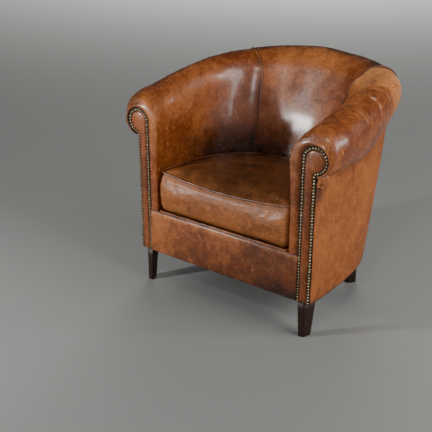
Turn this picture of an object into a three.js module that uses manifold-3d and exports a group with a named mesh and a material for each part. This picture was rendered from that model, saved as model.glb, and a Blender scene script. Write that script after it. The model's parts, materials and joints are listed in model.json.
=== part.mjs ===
// Worn leather club chair: a horseshoe tub on four legs, with a roll that runs round its arms and back.
// Millimetres, +Z up. The front faces -Y. Right and left are as seen from the front, so the right arm is
// on +X. The origin is on the floor, under the middle of the chair.
import * as THREE from "three";
import { mergeVertices } from "three/addons/utils/BufferGeometryUtils.js";
import Module from "manifold-3d";

const wasm = await Module();
wasm.setup();

// Plan of the tub
const outsideHalfFront = 333; // middle of the chair to the outside of an arm, at the facing
const armBow = 8; // how much further out the arm is where the tub is widest
const armWall = 80; // thickness of an arm where the tub is widest
const outsideHalfWidest = outsideHalfFront + armBow;
const outsideDepth = 462; // centre of the horseshoe to the outside of the back, at the bottom
const outsideSquareness = 3; // exponent of the superellipse round the back
const insideHalfWidth = outsideHalfWidest - armWall;
const backWall = 154; // thickness of the middle of the back at the seat
const insideDepth = outsideDepth - backWall;
const insideSquareness = 2.6;
const straightRun = 89; // facing to the centre of the horseshoe
const meanRadius = 430; // turns an angle round the centre into a length along the tub
const seamAngle = 63; // degrees from the side to the seams between the arms and the back

// Heights
const underside = 120;
const deckHeight = 272; // top of the seat platform, under the cushion
const springDepth = 72; // webbing to the top of the platform
const seatRailTop = deckHeight - springDepth;
const cushionDepth = 133;
const seatHeight = deckHeight + cushionDepth; // where the cushion meets the arms and back
const armTopFront = 654; // top of the roll just behind the facing
const backTop = 760;
const riseExponent = 1.39; // how soon the roll climbs from the arm to the back

// The roll
const rollHalfArm = 67;
const rollHalfBack = 80;
const rollCrownArm = 62; // height of the roll's upper half
const rollCrownBack = 67;
const rollShiftArm = -8; // middle of the roll, out from the outside of the base
const rollShiftBack = 15;
const flareBack = 46; // how far the outside leans out by the time it meets the roll
const lumbar = 12; // swell of the inside back
const edgeRadius = 26; // length of the round edge behind the facing
const edgeDropTop = 21; // how much lower the top of the roll is at the facing
const edgeShift = 8; // how far the roll moves in at the facing
const edgeBorder = 2; // how far the inside of the arm moves in at the facing
const edgeNeck = 4; // how far the lower edge of the roll moves out to pass the nailed trim
const edgeSwell = 5; // how far the leather bulges forward between the facing and the roll
const nearEdge = [4, 12, 17]; // distances behind the facing where the round edge has its sections

// Keyhole facing
const facingWidth = 35.5; // between the upright nail rows
const facingOuter = outsideHalfFront - 2; // upright nail row at the outside
const facingInner = facingOuter - facingWidth; // upright nail row nearest the seat
const scrollRadius = 36.5;
const scrollX = facingInner + scrollRadius;
const scrollDrop = 83; // top of the roll to the middle of the scroll
const scrollZ = armTopFront - scrollDrop;
const neckFillet = 12;
const neckDrop = 9.5; // scroll to the underside of the roll, where it meets the outside
const neckFront = scrollZ - scrollRadius - neckDrop;
const backRollHeight = 120;
const neckBack = backTop - backRollHeight;
const facingFoot = underside + 6;
const trimWidth = 8.4;
const trimThickness = 2.6;
const trimProud = 0.6;
const nailPitch = 9.8;
const nailRadius = 3.9;
const nailHeight = 2.6;
const facingSwell = 4; // how far the padded facing stands proud of the nail rows
const boardThickness = 20;

// Layers
const leather = 2.5;
const gap = 0.4; // between pieces that touch
const padArm = 26;
const padBack = 50;
const lining = 3;
const backing = 3;
const seatRailWidth = 32;
const topRailHeight = 22;
const cornerBlockHeight = 58;
const frontBlockSide = 60;
const rearBlockWidth = 36;
const liningLift = 8; // foot of the linings, above the platform
const postDepth = 18;
const postClearance = 2.4; // to the backing of the outside leather
const frontRailThickness = 22;
const ledge = 18; // step in the front rail that holds the webbing
const weltRadius = 3;
const dustCloth = 1.5;

// Webbing
const strapWidth = 50;
const strapThickness = 1.6;
const strapsAcross = [-150, 0, 150]; // straps that run front to back, from the middle
const strapsAlong = [120, 230, 340]; // straps that run side to side, from the facing
const weave = 1.3; // how far a strap rises or falls where it passes another

// Cushion
const cushionSide = 4; // clearance to the arms
const cushionRear = 2 * weltRadius + 2; // clearance to the back, past the seam welts
const cushionFront = -7; // foremost point of the boxing, behind the facing
const cushionNose = 20; // how far the top welt lies behind that point
const cushionSwell = 6; // how far the welts lie in from the widest point at the sides
const cushionCorner = 14;
const cushionCrown = 20;
const cushionSag = 14; // how much lower the top welt is in the middle of the front
const cushionEar = 6; // how much higher it is at the front corners
const cushionMiddle = straightRun + insideDepth * 0.2;

// Legs
// Corners of the right front leg at its top and on the floor, x from the outside of the arm: the leg's
// side follows the arm
const frontLegTop = [
  [-43, 3.2],
  [-14, 3.2],
  [-0.5, 50],
  [-28, 50],
];
const frontLegFoot = [
  [-34, 3.2],
  [-15, 3.2],
  [-5, 34],
  [-26, 34],
];
const rearLegTop = [38, 42];
const rearLegFoot = [29, 32];
const rearLegAngle = THREE.MathUtils.degToRad(52);
const rearLegInset = 45; // outside of the tub to the middle of the leg
const rearLegRake = 14; // how far the foot stands behind the top of the leg
const rearLegTurn = THREE.MathUtils.degToRad(-38);

// Number of steps along and round the pieces
const armSteps = 8;
const backSteps = 8;
const crownSteps = 7;
const dropSteps = 3;

const finishes = {
  leather: { color: 0x8a4420, roughness: 0.38, metalness: 0 },
  leatherWorn: { color: 0xa65f2c, roughness: 0.55, metalness: 0 },
  leatherDark: { color: 0x6d2f18, roughness: 0.35, metalness: 0 },
  seat: { color: 0x6a4223, roughness: 0.5, metalness: 0 },
  welt: { color: 0x5a2c16, roughness: 0.5, metalness: 0 },
  nails: { color: 0x8c7444, roughness: 0.35, metalness: 0.9 },
  legWood: { color: 0x2a1712, roughness: 0.45, metalness: 0 },
  frameWood: { color: 0xb28a5a, roughness: 0.75, metalness: 0 },
  webbing: { color: 0xa08a62, roughness: 0.9, metalness: 0 },
  stuffing: { color: 0xc9b68e, roughness: 0.95, metalness: 0 },
  cloth: { color: 0x26231f, roughness: 0.95, metalness: 0 },
};

const chair = new THREE.Group();

function addPiece(name, geometry, finish) {
  const mesh = new THREE.Mesh(geometry, new THREE.MeshStandardMaterial(finishes[finish]));
  mesh.name = name;
  chair.add(mesh);
  return mesh;
}

function smooth(low, high, value) {
  return THREE.MathUtils.smoothstep(value, low, high);
}

// Closed surfaces from rows of points

function signedVolume(points, faces) {
  const product = (a, b, c) => a.dot(b.clone().cross(c));
  return faces.reduce((sum, [i, j, k]) => sum + product(points[i], points[j], points[k]), 0) / 6;
}

function geometryFrom(points, faces) {
  const inward = signedVolume(points, faces) < 0;
  const ordered = faces.map(([a, b, c]) => (inward ? [a, c, b] : [a, b, c]));
  const geometry = new THREE.BufferGeometry().setFromPoints(points);
  geometry.setIndex(ordered.flat());
  geometry.computeVertexNormals();
  return geometry;
}

function quad(a, b, c, d) {
  return [
    [a, b, c],
    [a, c, d],
  ];
}

// The two triangles of a bay. The crease always climbs from one station to the next, so that the faces
// of neighbouring layers stay parallel.
function bay(points, a, b, acrossB, acrossA) {
  const level = 1e-4;
  if (points[a].z <= points[b].z + level) return quad(a, b, acrossB, acrossA);
  return quad(b, acrossB, acrossA, a);
}

// Rings of points, each a closed outline, joined one to the next. The end caps take their triangles
// from the flat sections that the first and last ring were made from.
function loft(rings, firstSection, lastSection = firstSection) {
  const count = rings[0].length;
  const points = rings.flat();
  const faces = [];
  for (let i = 0; i + 1 < rings.length; i++) {
    for (let j = 0; j < count; j++) {
      const next = (j + 1) % count;
      const a = i * count + j;
      const b = i * count + next;
      faces.push(...bay(points, a, b, b + count, a + count));
    }
  }
  const start = THREE.ShapeUtils.triangulateShape(firstSection, []);
  const end = THREE.ShapeUtils.triangulateShape(lastSection, []);
  const wound = THREE.ShapeUtils.area(firstSection) > 0;
  const base = points.length - count;
  start.forEach(([a, b, c]) => faces.push(wound ? [a, c, b] : [a, b, c]));
  end.forEach(([a, b, c]) => faces.push(wound ? [base + a, base + b, base + c] : [base + a, base + c, base + b]));
  return geometryFrom(points, faces);
}

// A skin of even thickness under a grid of outside points.
function skin(rows, thickness) {
  const count = rows[0].length;
  const normals = rows.map((row, i) =>
    row.map((_, j) => {
      const along = rows[Math.min(i + 1, rows.length - 1)][j].clone().sub(rows[Math.max(i - 1, 0)][j]);
      const across = row[Math.min(j + 1, count - 1)].clone().sub(row[Math.max(j - 1, 0)]);
      return across.cross(along).normalize();
    }),
  );
  const outer = rows.flat();
  const inner = rows.flatMap((row, i) => row.map((point, j) => point.clone().addScaledVector(normals[i][j], thickness)));
  const points = [...outer, ...inner];
  const under = outer.length;
  const faces = [];
  for (let i = 0; i + 1 < rows.length; i++) {
    for (let j = 0; j + 1 < count; j++) {
      const a = i * count + j;
      const pair = bay(points, a, a + 1, a + 1 + count, a + count);
      faces.push(...pair);
      pair.forEach(([p, q, r]) => faces.push([under + p, under + r, under + q]));
    }
  }
  const rim = [];
  for (let j = 0; j + 1 < count; j++) rim.push(j);
  for (let i = 0; i + 1 < rows.length; i++) rim.push(i * count + count - 1);
  for (let j = count - 1; j > 0; j--) rim.push((rows.length - 1) * count + j);
  for (let i = rows.length - 1; i > 0; i--) rim.push(i * count);
  rim.forEach((a, k) => {
    const b = rim[(k + 1) % rim.length];
    faces.push(...quad(b, a, under + a, under + b));
  });
  return geometryFrom(points, faces);
}

// Joining and cutting

function toSolid(geometry) {
  const bare = geometry.clone();
  bare.deleteAttribute("normal");
  bare.deleteAttribute("uv");
  const merged = mergeVertices(bare, 1e-4);
  const mesh = new wasm.Mesh({
    numProp: 3,
    vertProperties: merged.attributes.position.array,
    triVerts: new Uint32Array(merged.index.array),
  });
  return new wasm.Manifold(mesh);
}

function fromSolid(solid) {
  const mesh = solid.getMesh();
  const geometry = new THREE.BufferGeometry();
  geometry.setAttribute("position", new THREE.BufferAttribute(mesh.vertProperties, 3));
  geometry.setIndex(new THREE.BufferAttribute(mesh.triVerts, 1));
  geometry.computeVertexNormals();
  return geometry;
}

function cutAway(geometry, tools) {
  return fromSolid(tools.reduce((solid, tool) => solid.subtract(toSolid(tool)), toSolid(geometry)));
}

// Stations along the tub: t runs from the left facing, round the back, to the right facing, and is zero
// in the middle of the back. Each station is an upright plane. On the straight arms it points sideways,
// and round the back it fans out from the centre of the horseshoe.

const halfLength = straightRun + (Math.PI / 2) * meanRadius;

function outlineRadius(halfWidth, depth, squareness, angle) {
  const across = Math.cos(angle) / halfWidth;
  const back = Math.sin(angle) / depth;
  return (Math.abs(across) ** squareness + Math.abs(back) ** squareness) ** (-1 / squareness);
}

function tAtAngle(degrees) {
  return halfLength - straightRun - THREE.MathUtils.degToRad(degrees) * meanRadius;
}

function stationAt(t) {
  const side = t < 0 ? -1 : 1;
  const run = halfLength - Math.abs(t);
  const share = run / halfLength;
  if (run < straightRun) {
    const bow = 1 - (1 - run / straightRun) ** 2;
    const x = outsideHalfFront + (outsideHalfWidest - outsideHalfFront) * bow;
    return { x: side * x, y: run, outX: side, outY: 0, wall: x - insideHalfWidth, run, share };
  }
  const angle = (run - straightRun) / meanRadius;
  const radius = outlineRadius(outsideHalfWidest, outsideDepth, outsideSquareness, angle);
  const inside = outlineRadius(insideHalfWidth, insideDepth, insideSquareness, angle);
  const outX = side * Math.cos(angle);
  const outY = Math.sin(angle);
  return { x: radius * outX, y: straightRun + radius * outY, outX, outY, wall: radius - inside, run, share };
}

function place(station, u, z) {
  return new THREE.Vector3(station.x + u * station.outX, station.y + u * station.outY, z);
}

function stationsBetween(from, to, steps) {
  return Array.from({ length: steps + 1 }, (_, i) => stationAt(from + ((to - from) * i) / steps));
}

// The round edge behind the facing: 1 at the facing, 0 where the roll has its full size
function edgeShare(station) {
  const reach = Math.max(0, 1 - station.run / edgeRadius);
  return 1 - Math.sqrt(1 - Math.min(1, reach) ** 2);
}

function neckHeight(station) {
  return neckFront + (neckBack - neckFront) * smooth(0.2, 0.68, station.share);
}

function flare(station) {
  return flareBack * smooth(0, 0.55, station.share);
}

function rollAt(station) {
  const towardsBack = smooth(0.38, 0.72, station.share);
  const edge = edgeShare(station);
  const rise = 1 - (1 - station.share) ** riseExponent;
  const half = rollHalfArm + (rollHalfBack - rollHalfArm) * towardsBack;
  const crown = rollCrownArm + (rollCrownBack - rollCrownArm) * towardsBack;
  const top = armTopFront + (backTop - armTopFront) * rise - edgeDropTop * edge;
  const shift = rollShiftArm + (rollShiftBack - rollShiftArm) * towardsBack - edgeShift * edge;
  return { half, crown, middle: top - crown, shift };
}

function padDepth(station) {
  return padArm + (padBack - padArm) * smooth(0.4, 0.75, station.share);
}

// Inside face of the leather at height z, below the middle of the roll
function insideAt(station, z) {
  const roll = rollAt(station);
  const low = -station.wall - edgeBorder * edgeShare(station);
  const high = roll.shift - roll.half;
  const share = THREE.MathUtils.clamp((z - seatHeight) / (roll.middle - seatHeight), 0, 1);
  const swell = lumbar * smooth(0.5, 0.8, station.share) * Math.sin(Math.PI * share);
  return low + (high - low) * share - swell;
}

function outsideAt(station, z) {
  return (flare(station) * (z - underside)) / (neckHeight(station) - underside);
}

// Section of the inside covers, from the platform up the inside, over the roll and down to the neck
function coverSection(station) {
  const roll = rollAt(station);
  const neck = neckHeight(station);
  const neckU = flare(station) + leather + edgeNeck * edgeShare(station);
  const section = [];
  [0, 1].forEach((k) => section.push([deckHeight + 1 + (seatHeight - deckHeight - 1) * k]));
  [1 / 3, 2 / 3].forEach((k) => section.push([seatHeight + (roll.middle - seatHeight) * k]));
  const points = section.map(([z]) => new THREE.Vector2(insideAt(station, z), z));
  for (let k = 0; k <= crownSteps; k++) {
    const angle = Math.PI * (1 - k / crownSteps);
    points.push(new THREE.Vector2(roll.shift + roll.half * Math.cos(angle), roll.middle + roll.crown * Math.sin(angle)));
  }
  for (let k = 1; k <= dropSteps; k++) {
    const angle = ((Math.PI / 2) * k) / dropSteps;
    const reach = roll.shift + roll.half - neckU;
    points.push(new THREE.Vector2(neckU + reach * Math.cos(angle), roll.middle - (roll.middle - neck) * Math.sin(angle)));
  }
  return points;
}

// The same section moved into the chair by a distance, square to itself
function inset(points, distance) {
  return points.map((point, i) => {
    const before = points[Math.max(i - 1, 0)];
    const after = points[Math.min(i + 1, points.length - 1)];
    const along = after.clone().sub(before).normalize();
    return new THREE.Vector2(point.x + along.y * distance, point.y - along.x * distance);
  });
}

// A closed section carried along the tub
function sweep(stations, sectionOf) {
  const sections = stations.map(sectionOf);
  const rings = sections.map((section, i) => section.map((p) => place(stations[i], p.x, p.y)));
  return loft(rings, sections[0], sections.at(-1));
}

function box2(u0, u1, z0, z1) {
  return [new THREE.Vector2(u0, z0), new THREE.Vector2(u1, z0), new THREE.Vector2(u1, z1), new THREE.Vector2(u0, z1)];
}

// Keyhole outline of the facing, on the right arm, from the foot of the inner row, round the scroll, to
// the foot of the outer row. A positive offset lies outside the nail row.
function keyhole(offset, foot, scrollTurns = 12) {
  const radius = scrollRadius + offset;
  const fillet = neckFillet - offset;
  const filletX = facingOuter + offset + fillet;
  const reach = scrollRadius + neckFillet;
  const filletZ = scrollZ - Math.sqrt(reach ** 2 - (filletX - scrollX) ** 2);
  const meet = Math.atan2(filletZ - scrollZ, filletX - scrollX);
  const points = [new THREE.Vector2(scrollX - radius, foot)];
  for (let k = 0; k <= scrollTurns; k++) {
    const angle = Math.PI + ((meet - Math.PI) * k) / scrollTurns;
    points.push(new THREE.Vector2(scrollX + radius * Math.cos(angle), scrollZ + radius * Math.sin(angle)));
  }
  const filletTurns = 3;
  for (let k = 1; k <= filletTurns; k++) {
    const from = meet + Math.PI;
    const angle = from + ((Math.PI - from) * k) / filletTurns;
    points.push(new THREE.Vector2(filletX + fillet * Math.cos(angle), filletZ + fillet * Math.sin(angle)));
  }
  points.push(new THREE.Vector2(facingOuter + offset, foot));
  return points;
}

// A flat plate of an outline in the plane of the facing, from y = from back to y = to
function facingPlate(outline, from, to) {
  const geometry = new THREE.ExtrudeGeometry(new THREE.Shape(outline), { depth: to - from, bevelEnabled: false });
  geometry.rotateX(Math.PI / 2);
  geometry.translate(0, to, 0);
  return geometry;
}

// Mirrors a right-hand piece to the left arm
function mirrored(geometry) {
  const solid = mergeVertices(bareCopy(geometry), 1e-4);
  const position = solid.attributes.position;
  const points = [];
  for (let i = 0; i < position.count; i++) points.push(new THREE.Vector3(-position.getX(i), position.getY(i), position.getZ(i)));
  const faces = [];
  for (let i = 0; i < solid.index.count; i += 3) faces.push([solid.index.getX(i), solid.index.getX(i + 1), solid.index.getX(i + 2)]);
  return geometryFrom(points, faces);
}

function bareCopy(geometry) {
  const bare = geometry.clone();
  bare.deleteAttribute("normal");
  bare.deleteAttribute("uv");
  return bare;
}

function addPair(name, geometry, finish) {
  addPiece("right_" + name, geometry, finish);
  addPiece("left_" + name, mirrored(geometry), finish);
}

// The stations that every layer of an arm or of the back shares, so that the layers stay parallel.
// The right arm runs from behind its facing board to the seam, and the left arm is its mirror image.
const seamT = tAtAngle(seamAngle);
const boardBack = leather + gap + boardThickness;
const armStations = stationsBetween(halfLength - boardBack - gap, seamT + gap, armSteps);
const backStations = stationsBetween(seamT - gap, gap - seamT, backSteps);

// Sweeps a section along the right arm, with further stations in front of the shared ones
function armSweep(sectionOf, runsInFront = []) {
  return sweep([...runsInFront.map((run) => stationAt(halfLength - run)), ...armStations], sectionOf);
}

// Fills part of the bay between two neighbouring stations
function bayPiece([first, last], from, to, sectionOf) {
  const start = sectionOf(first).map((p) => place(first, p.x, p.y));
  const end = sectionOf(last).map((p) => place(last, p.x, p.y));
  const rings = [from, to].map((share) => start.map((p, j) => p.clone().lerp(end[j], share)));
  return loft(rings, sectionOf(first), sectionOf(last));
}

// Seat rails and the legs' glue blocks

function seatRailSection(station) {
  const outer = outsideAt(station, underside) - leather - backing - 2 * gap;
  return box2(outer - seatRailWidth, outer, underside + dustCloth + gap, seatRailTop);
}

function addSeatRails() {
  addPair("seat_rail", armSweep(seatRailSection), "frameWood");
  addPiece("back_seat_rail", sweep(backStations, seatRailSection), "frameWood");
  const half = facingInner - trimWidth / 2;
  const low = underside + dustCloth + gap;
  const high = deckHeight - leather - 3;
  const front = leather + gap;
  const profile = new THREE.Shape([
    new THREE.Vector2(front, low),
    new THREE.Vector2(front + frontRailThickness + ledge, low),
    new THREE.Vector2(front + frontRailThickness + ledge, seatRailTop),
    new THREE.Vector2(front + frontRailThickness, seatRailTop),
    new THREE.Vector2(front + frontRailThickness, high),
    new THREE.Vector2(front, high),
  ]);
  const rail = new THREE.ExtrudeGeometry(profile, { depth: 2 * half - 2 * gap, bevelEnabled: false });
  rail.rotateX(Math.PI / 2);
  rail.rotateZ(Math.PI / 2);
  rail.translate(-half + gap, 0, 0);
  addPiece("front_seat_rail", rail, "frameWood");
}

function addFrontCornerBlocks() {
  const railBack = leather + gap + frontRailThickness + ledge + gap;
  const station = stationAt(halfLength - railBack);
  const inner = station.x - leather - backing - 2 * gap - seatRailWidth - 3 * gap;
  const shape = new THREE.Shape([
    new THREE.Vector2(inner, railBack),
    new THREE.Vector2(inner, railBack + frontBlockSide),
    new THREE.Vector2(inner - frontBlockSide, railBack),
  ]);
  const block = new THREE.ExtrudeGeometry(shape, { depth: cornerBlockHeight, bevelEnabled: false });
  block.translate(0, 0, underside + dustCloth + gap);
  addPair("front_corner_block", block, "frameWood");
}

// Curved blocks inside the seat rail that carry the rear legs
function addRearCornerBlocks() {
  const stations = armStations.slice(-3);
  const section = (station) => {
    const rail = outsideAt(station, underside) - leather - backing - 2 * gap - seatRailWidth - gap;
    const low = underside + dustCloth + gap;
    return box2(rail - rearBlockWidth, rail, low, low + cornerBlockHeight);
  };
  addPair("rear_corner_block", sweep(stations, section), "frameWood");
}

// Uprights and the rail under the roll

function topRailTop(station) {
  return neckHeight(station) - leather;
}

function topRailSection(station) {
  const top = topRailTop(station);
  const inner = insideAt(station, top) + padDepth(station) + lining + 3 * gap;
  const outer = outsideAt(station, top - topRailHeight) - leather - backing - 3 * gap;
  return box2(inner, outer, top - topRailHeight, top);
}

function addTopRails() {
  addPair("arm_top_rail", armSweep(topRailSection), "frameWood");
  addPiece("back_top_rail", sweep(backStations, topRailSection), "frameWood");
}

function postSection(station) {
  const low = seatRailTop + gap;
  const high = topRailTop(station) - topRailHeight - 2 * gap;
  const outer = [low, high].map((z) => outsideAt(station, z) - leather - backing - postClearance);
  return [
    new THREE.Vector2(outer[0] - postDepth, low),
    new THREE.Vector2(outer[0], low),
    new THREE.Vector2(outer[1], high),
    new THREE.Vector2(outer[1] - postDepth, high),
  ];
}

function addPosts() {
  const armBay = armStations.slice(2, 4);
  const backBay = backStations.slice(2, 4);
  addPair("arm_post", bayPiece(armBay, 0.15, 0.85, postSection), "frameWood");
  addPair("back_post", bayPiece(backBay, 0.1, 0.9, postSection), "frameWood");
}

// Linings and padding behind the inside leather

function liningSection(station) {
  const top = topRailTop(station) - gap;
  const low = deckHeight + liningLift;
  const inner = [low, seatHeight, top].map((z) => new THREE.Vector2(insideAt(station, z) + padDepth(station) + gap, z));
  const outer = inner.map((p) => new THREE.Vector2(p.x + lining, p.y)).reverse();
  return [...inner, ...outer];
}

function padSection(station) {
  const face = inset(coverSection(station), leather + 2 * gap);
  const neck = neckHeight(station);
  const top = topRailTop(station) + gap;
  const depth = padDepth(station);
  const overCover = new THREE.Vector2(flare(station) - leather - 2 * gap, neck + gap);
  const overRail = new THREE.Vector2(outsideAt(station, top - topRailHeight) - leather - backing - 3 * gap, top);
  const behind = [top, seatHeight, deckHeight + liningLift].map((z) => new THREE.Vector2(insideAt(station, z) + depth, z));
  return [...face, overCover, overRail, ...behind];
}

function addLiningsAndPadding() {
  addPair("inside_arm_lining", armSweep(liningSection), "webbing");
  addPiece("inside_back_lining", sweep(backStations, liningSection), "webbing");
  const pocket = facingPlate(keyhole(-1 + 2 * gap, facingFoot - 6), leather, boardBack + gap);
  const armPad = armSweep(padSection, [nearEdge.at(-1)]);
  addPair("inside_arm_padding", cutAway(armPad, [pocket]), "stuffing");
  addPiece("inside_back_padding", sweep(backStations, padSection), "stuffing");
}

// Leather of the inside and the roll

// Rows from the nail row over the front edge, for the right arm
function edgeRows() {
  const clear = trimWidth / 2 + 4 * gap;
  const neckClearance = 5;
  const front = stationAt(halfLength);
  const full = coverSection(front).map((p) => place(front, p.x, p.y));
  const radius = scrollRadius + clear;
  const filletX = facingOuter + clear;
  const nailRow = full.map((point, j) => {
    if (j < 4) return new THREE.Vector3(scrollX - radius, 0, point.z);
    const turns = crownSteps + dropSteps;
    const sweepAngle = Math.PI + Math.acos((filletX + neckClearance - scrollX) / radius);
    const angle = Math.PI - (sweepAngle * (j - 4)) / turns;
    return new THREE.Vector3(scrollX + radius * Math.cos(angle), 0, scrollZ + radius * Math.sin(angle));
  });
  const between = nailRow.map((point, j) => {
    const middle = point.clone().lerp(full[j], 0.5);
    middle.y = -edgeSwell;
    return middle;
  });
  const rim = full.map((point) => point.clone().setY(edgeSwell * -0.4));
  return [nailRow, between, rim];
}

function addInsideCovers() {
  const coverRow = (station) => coverSection(station).map((p) => place(station, p.x, p.y));
  const front = nearEdge.map((run) => coverRow(stationAt(halfLength - run)));
  const rows = [...edgeRows(), ...front, ...armStations.map(coverRow)];
  addPair("inside_arm_cover", skin(rows, -leather), "leather");
  addPiece("inside_back_cover", skin(backStations.map(coverRow), -leather), "leather");
}

// Seam welt: a cord that lies on the leather along a section line
function weltAlong(points, radius, halfSides = 3) {
  const curve = new THREE.CatmullRomCurve3(points);
  const circle = new THREE.Shape();
  circle.absarc(0, 0, radius, 0, 2 * Math.PI);
  return new THREE.ExtrudeGeometry(circle, { steps: points.length * 2, curveSegments: halfSides, extrudePath: curve });
}

function addInsideSeamWelts() {
  const station = stationAt(seamT);
  const line = inset(coverSection(station), -weltRadius - gap - 0.6);
  const points = line.slice(0, -1).map((p) => place(station, p.x, p.y));
  addPair("inside_seam_welt", weltAlong(points, weltRadius), "welt");
}

// Outside leather and its backing

function outsideSection(outerGap, thickness, top) {
  return (station) => {
    const high = neckHeight(station) - top;
    return [
      new THREE.Vector2(outsideAt(station, underside) - outerGap, underside),
      new THREE.Vector2(outsideAt(station, high) - outerGap, high),
      new THREE.Vector2(outsideAt(station, high) - outerGap - thickness, high),
      new THREE.Vector2(outsideAt(station, underside) - outerGap - thickness, underside),
    ];
  };
}

function addOutside() {
  const cover = outsideSection(0, leather, gap);
  addPair("outside_arm_cover", armSweep(cover, [edgeSwell]), "leatherWorn");
  addPiece("outside_back_cover", sweep(backStations, cover), "leatherWorn");
  const back = outsideSection(leather + gap, backing, leather + gap);
  addPair("outside_arm_backing", armSweep(back), "webbing");
  addPiece("outside_back_backing", sweep(backStations, back), "webbing");
  const station = stationAt(seamT);
  const radius = weltRadius * 0.8;
  const out = radius + 2 * gap;
  const high = neckHeight(station) - radius - gap;
  const line = [underside + 2, (underside + high) / 2, high].map((z) => place(station, outsideAt(station, z) + out, z));
  addPair("outside_seam_welt", weltAlong(line, radius), "welt");
}

// Facings: board, padded panel and nailed trim

function addFacings() {
  const board = facingPlate(keyhole(-1, facingFoot - 4), leather + gap, boardBack);
  addPair("facing_board", board, "frameWood");
  const edge = -trimWidth / 2 - gap;
  const levels = [
    [edge, leather - gap],
    [edge, -facingSwell * 0.3],
    [edge - 3, -facingSwell * 0.8],
    [edge - 7, -facingSwell],
  ];
  const outlines = levels.map(([offset]) => keyhole(offset, facingFoot - Math.min(0, offset - edge)));
  const rings = outlines.map((outline, i) => outline.map((p) => new THREE.Vector3(p.x, levels[i][1], p.y)));
  addPair("facing_panel", loft(rings, outlines[0], outlines.at(-1)), "leatherDark");
  const outerEdge = keyhole(trimWidth / 2, facingFoot);
  const innerEdge = keyhole(-trimWidth / 2, facingFoot).reverse();
  const band = facingPlate([...outerEdge, ...innerEdge], -trimProud, -trimProud + trimThickness);
  const line = new THREE.CurvePath();
  const nails = keyhole(0, facingFoot + nailRadius + 1, 24);
  nails.slice(1).forEach((point, i) => line.add(new THREE.LineCurve(nails[i], point)));
  const count = Math.floor(line.getLength() / nailPitch);
  const head = new THREE.ConeGeometry(nailRadius, nailHeight + 1, 6);
  head.rotateX(Math.PI);
  const heads = [];
  for (let k = 0; k <= count; k++) {
    const at = line.getPointAt(k / count);
    const nail = head.clone().translate(at.x, -trimProud - nailHeight / 2 + 0.5, at.y);
    heads.push(toSolid(nail));
  }
  const trim = heads.reduce((solid, nail) => solid.add(nail), toSolid(band));
  addPair("nailed_trim", fromSolid(trim), "nails");
}

// Front border over the front rail, with its welt

function addFrontBorder() {
  const half = facingInner - trimWidth / 2 - gap;
  const top = deckHeight - 2 * weltRadius;
  const middle = (underside + top) / 2;
  const swell = 4;
  const profile = new THREE.Shape([
    new THREE.Vector2(leather, underside),
    new THREE.Vector2(leather, top),
    new THREE.Vector2(0, top),
    new THREE.Vector2(-swell * 0.75, (middle + top) / 2),
    new THREE.Vector2(-swell, middle),
    new THREE.Vector2(-swell * 0.75, (middle + underside) / 2),
    new THREE.Vector2(0, underside),
  ]);
  const cover = new THREE.ExtrudeGeometry(profile, { depth: 2 * half, bevelEnabled: false });
  cover.rotateX(Math.PI / 2);
  cover.rotateZ(Math.PI / 2);
  cover.translate(-half, 0, 0);
  addPiece("front_border_cover", cover, "leather");
  const line = [-half, -half / 3, half / 3, half].map((x) => new THREE.Vector3(x, -1, deckHeight - weltRadius + gap));
  addPiece("front_border_welt", weltAlong(line, weltRadius), "welt");
}

// Seat: webbing, stuffing and platform leather

// Outline of the space between the arms and the back, less a clearance at the sides and at the rear
function insidePlan(side, rear, front, corner) {
  const points = [];
  const half = insideHalfWidth - side;
  points.push(new THREE.Vector2(half - corner, front));
  const turns = 3;
  for (let k = 1; k <= turns; k++) {
    const angle = -Math.PI / 2 + ((Math.PI / 2) * k) / turns;
    points.push(new THREE.Vector2(half - corner + corner * Math.cos(angle), front + corner + corner * Math.sin(angle)));
  }
  const steps = 16;
  for (let k = 0; k <= steps; k++) {
    const angle = (Math.PI * k) / steps;
    const clearance = side + (rear - side) * smooth(0.2, 0.75, Math.sin(angle));
    const radius = outlineRadius(insideHalfWidth, insideDepth, insideSquareness, angle) - clearance;
    points.push(new THREE.Vector2(radius * Math.cos(angle), straightRun + radius * Math.sin(angle)));
  }
  for (let k = 0; k < turns; k++) {
    const angle = Math.PI + ((Math.PI / 2) * k) / turns;
    points.push(new THREE.Vector2(-half + corner + corner * Math.cos(angle), front + corner + corner * Math.sin(angle)));
  }
  points.push(new THREE.Vector2(-half + corner, front));
  return points;
}

function slab(outline, low, high) {
  const geometry = new THREE.ExtrudeGeometry(new THREE.Shape(outline), { depth: high - low, bevelEnabled: false });
  geometry.translate(0, 0, low);
  return geometry;
}

// A strap that rises over one cross strap and dips under the next
function strap(start, end, crossings, first, toPoint) {
  const half = strapWidth / 2 + 4;
  const level = seatRailTop + gap + weave + strapThickness;
  const stops = [[start, 0]];
  crossings.forEach((at, i) => {
    const rise = (i % 2 ? -weave : weave) * first;
    stops.push([at - half, rise], [at + half, rise]);
  });
  stops.push([end, 0]);
  const top = stops.map(([at, rise]) => new THREE.Vector2(at, level + rise));
  const bottom = top.map((p) => new THREE.Vector2(p.x, p.y - strapThickness)).reverse();
  const outline = [...top, ...bottom];
  const rings = [-strapWidth / 2, strapWidth / 2].map((across) => outline.map((p) => toPoint(p.x, across, p.y)));
  return loft(rings, outline);
}

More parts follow.
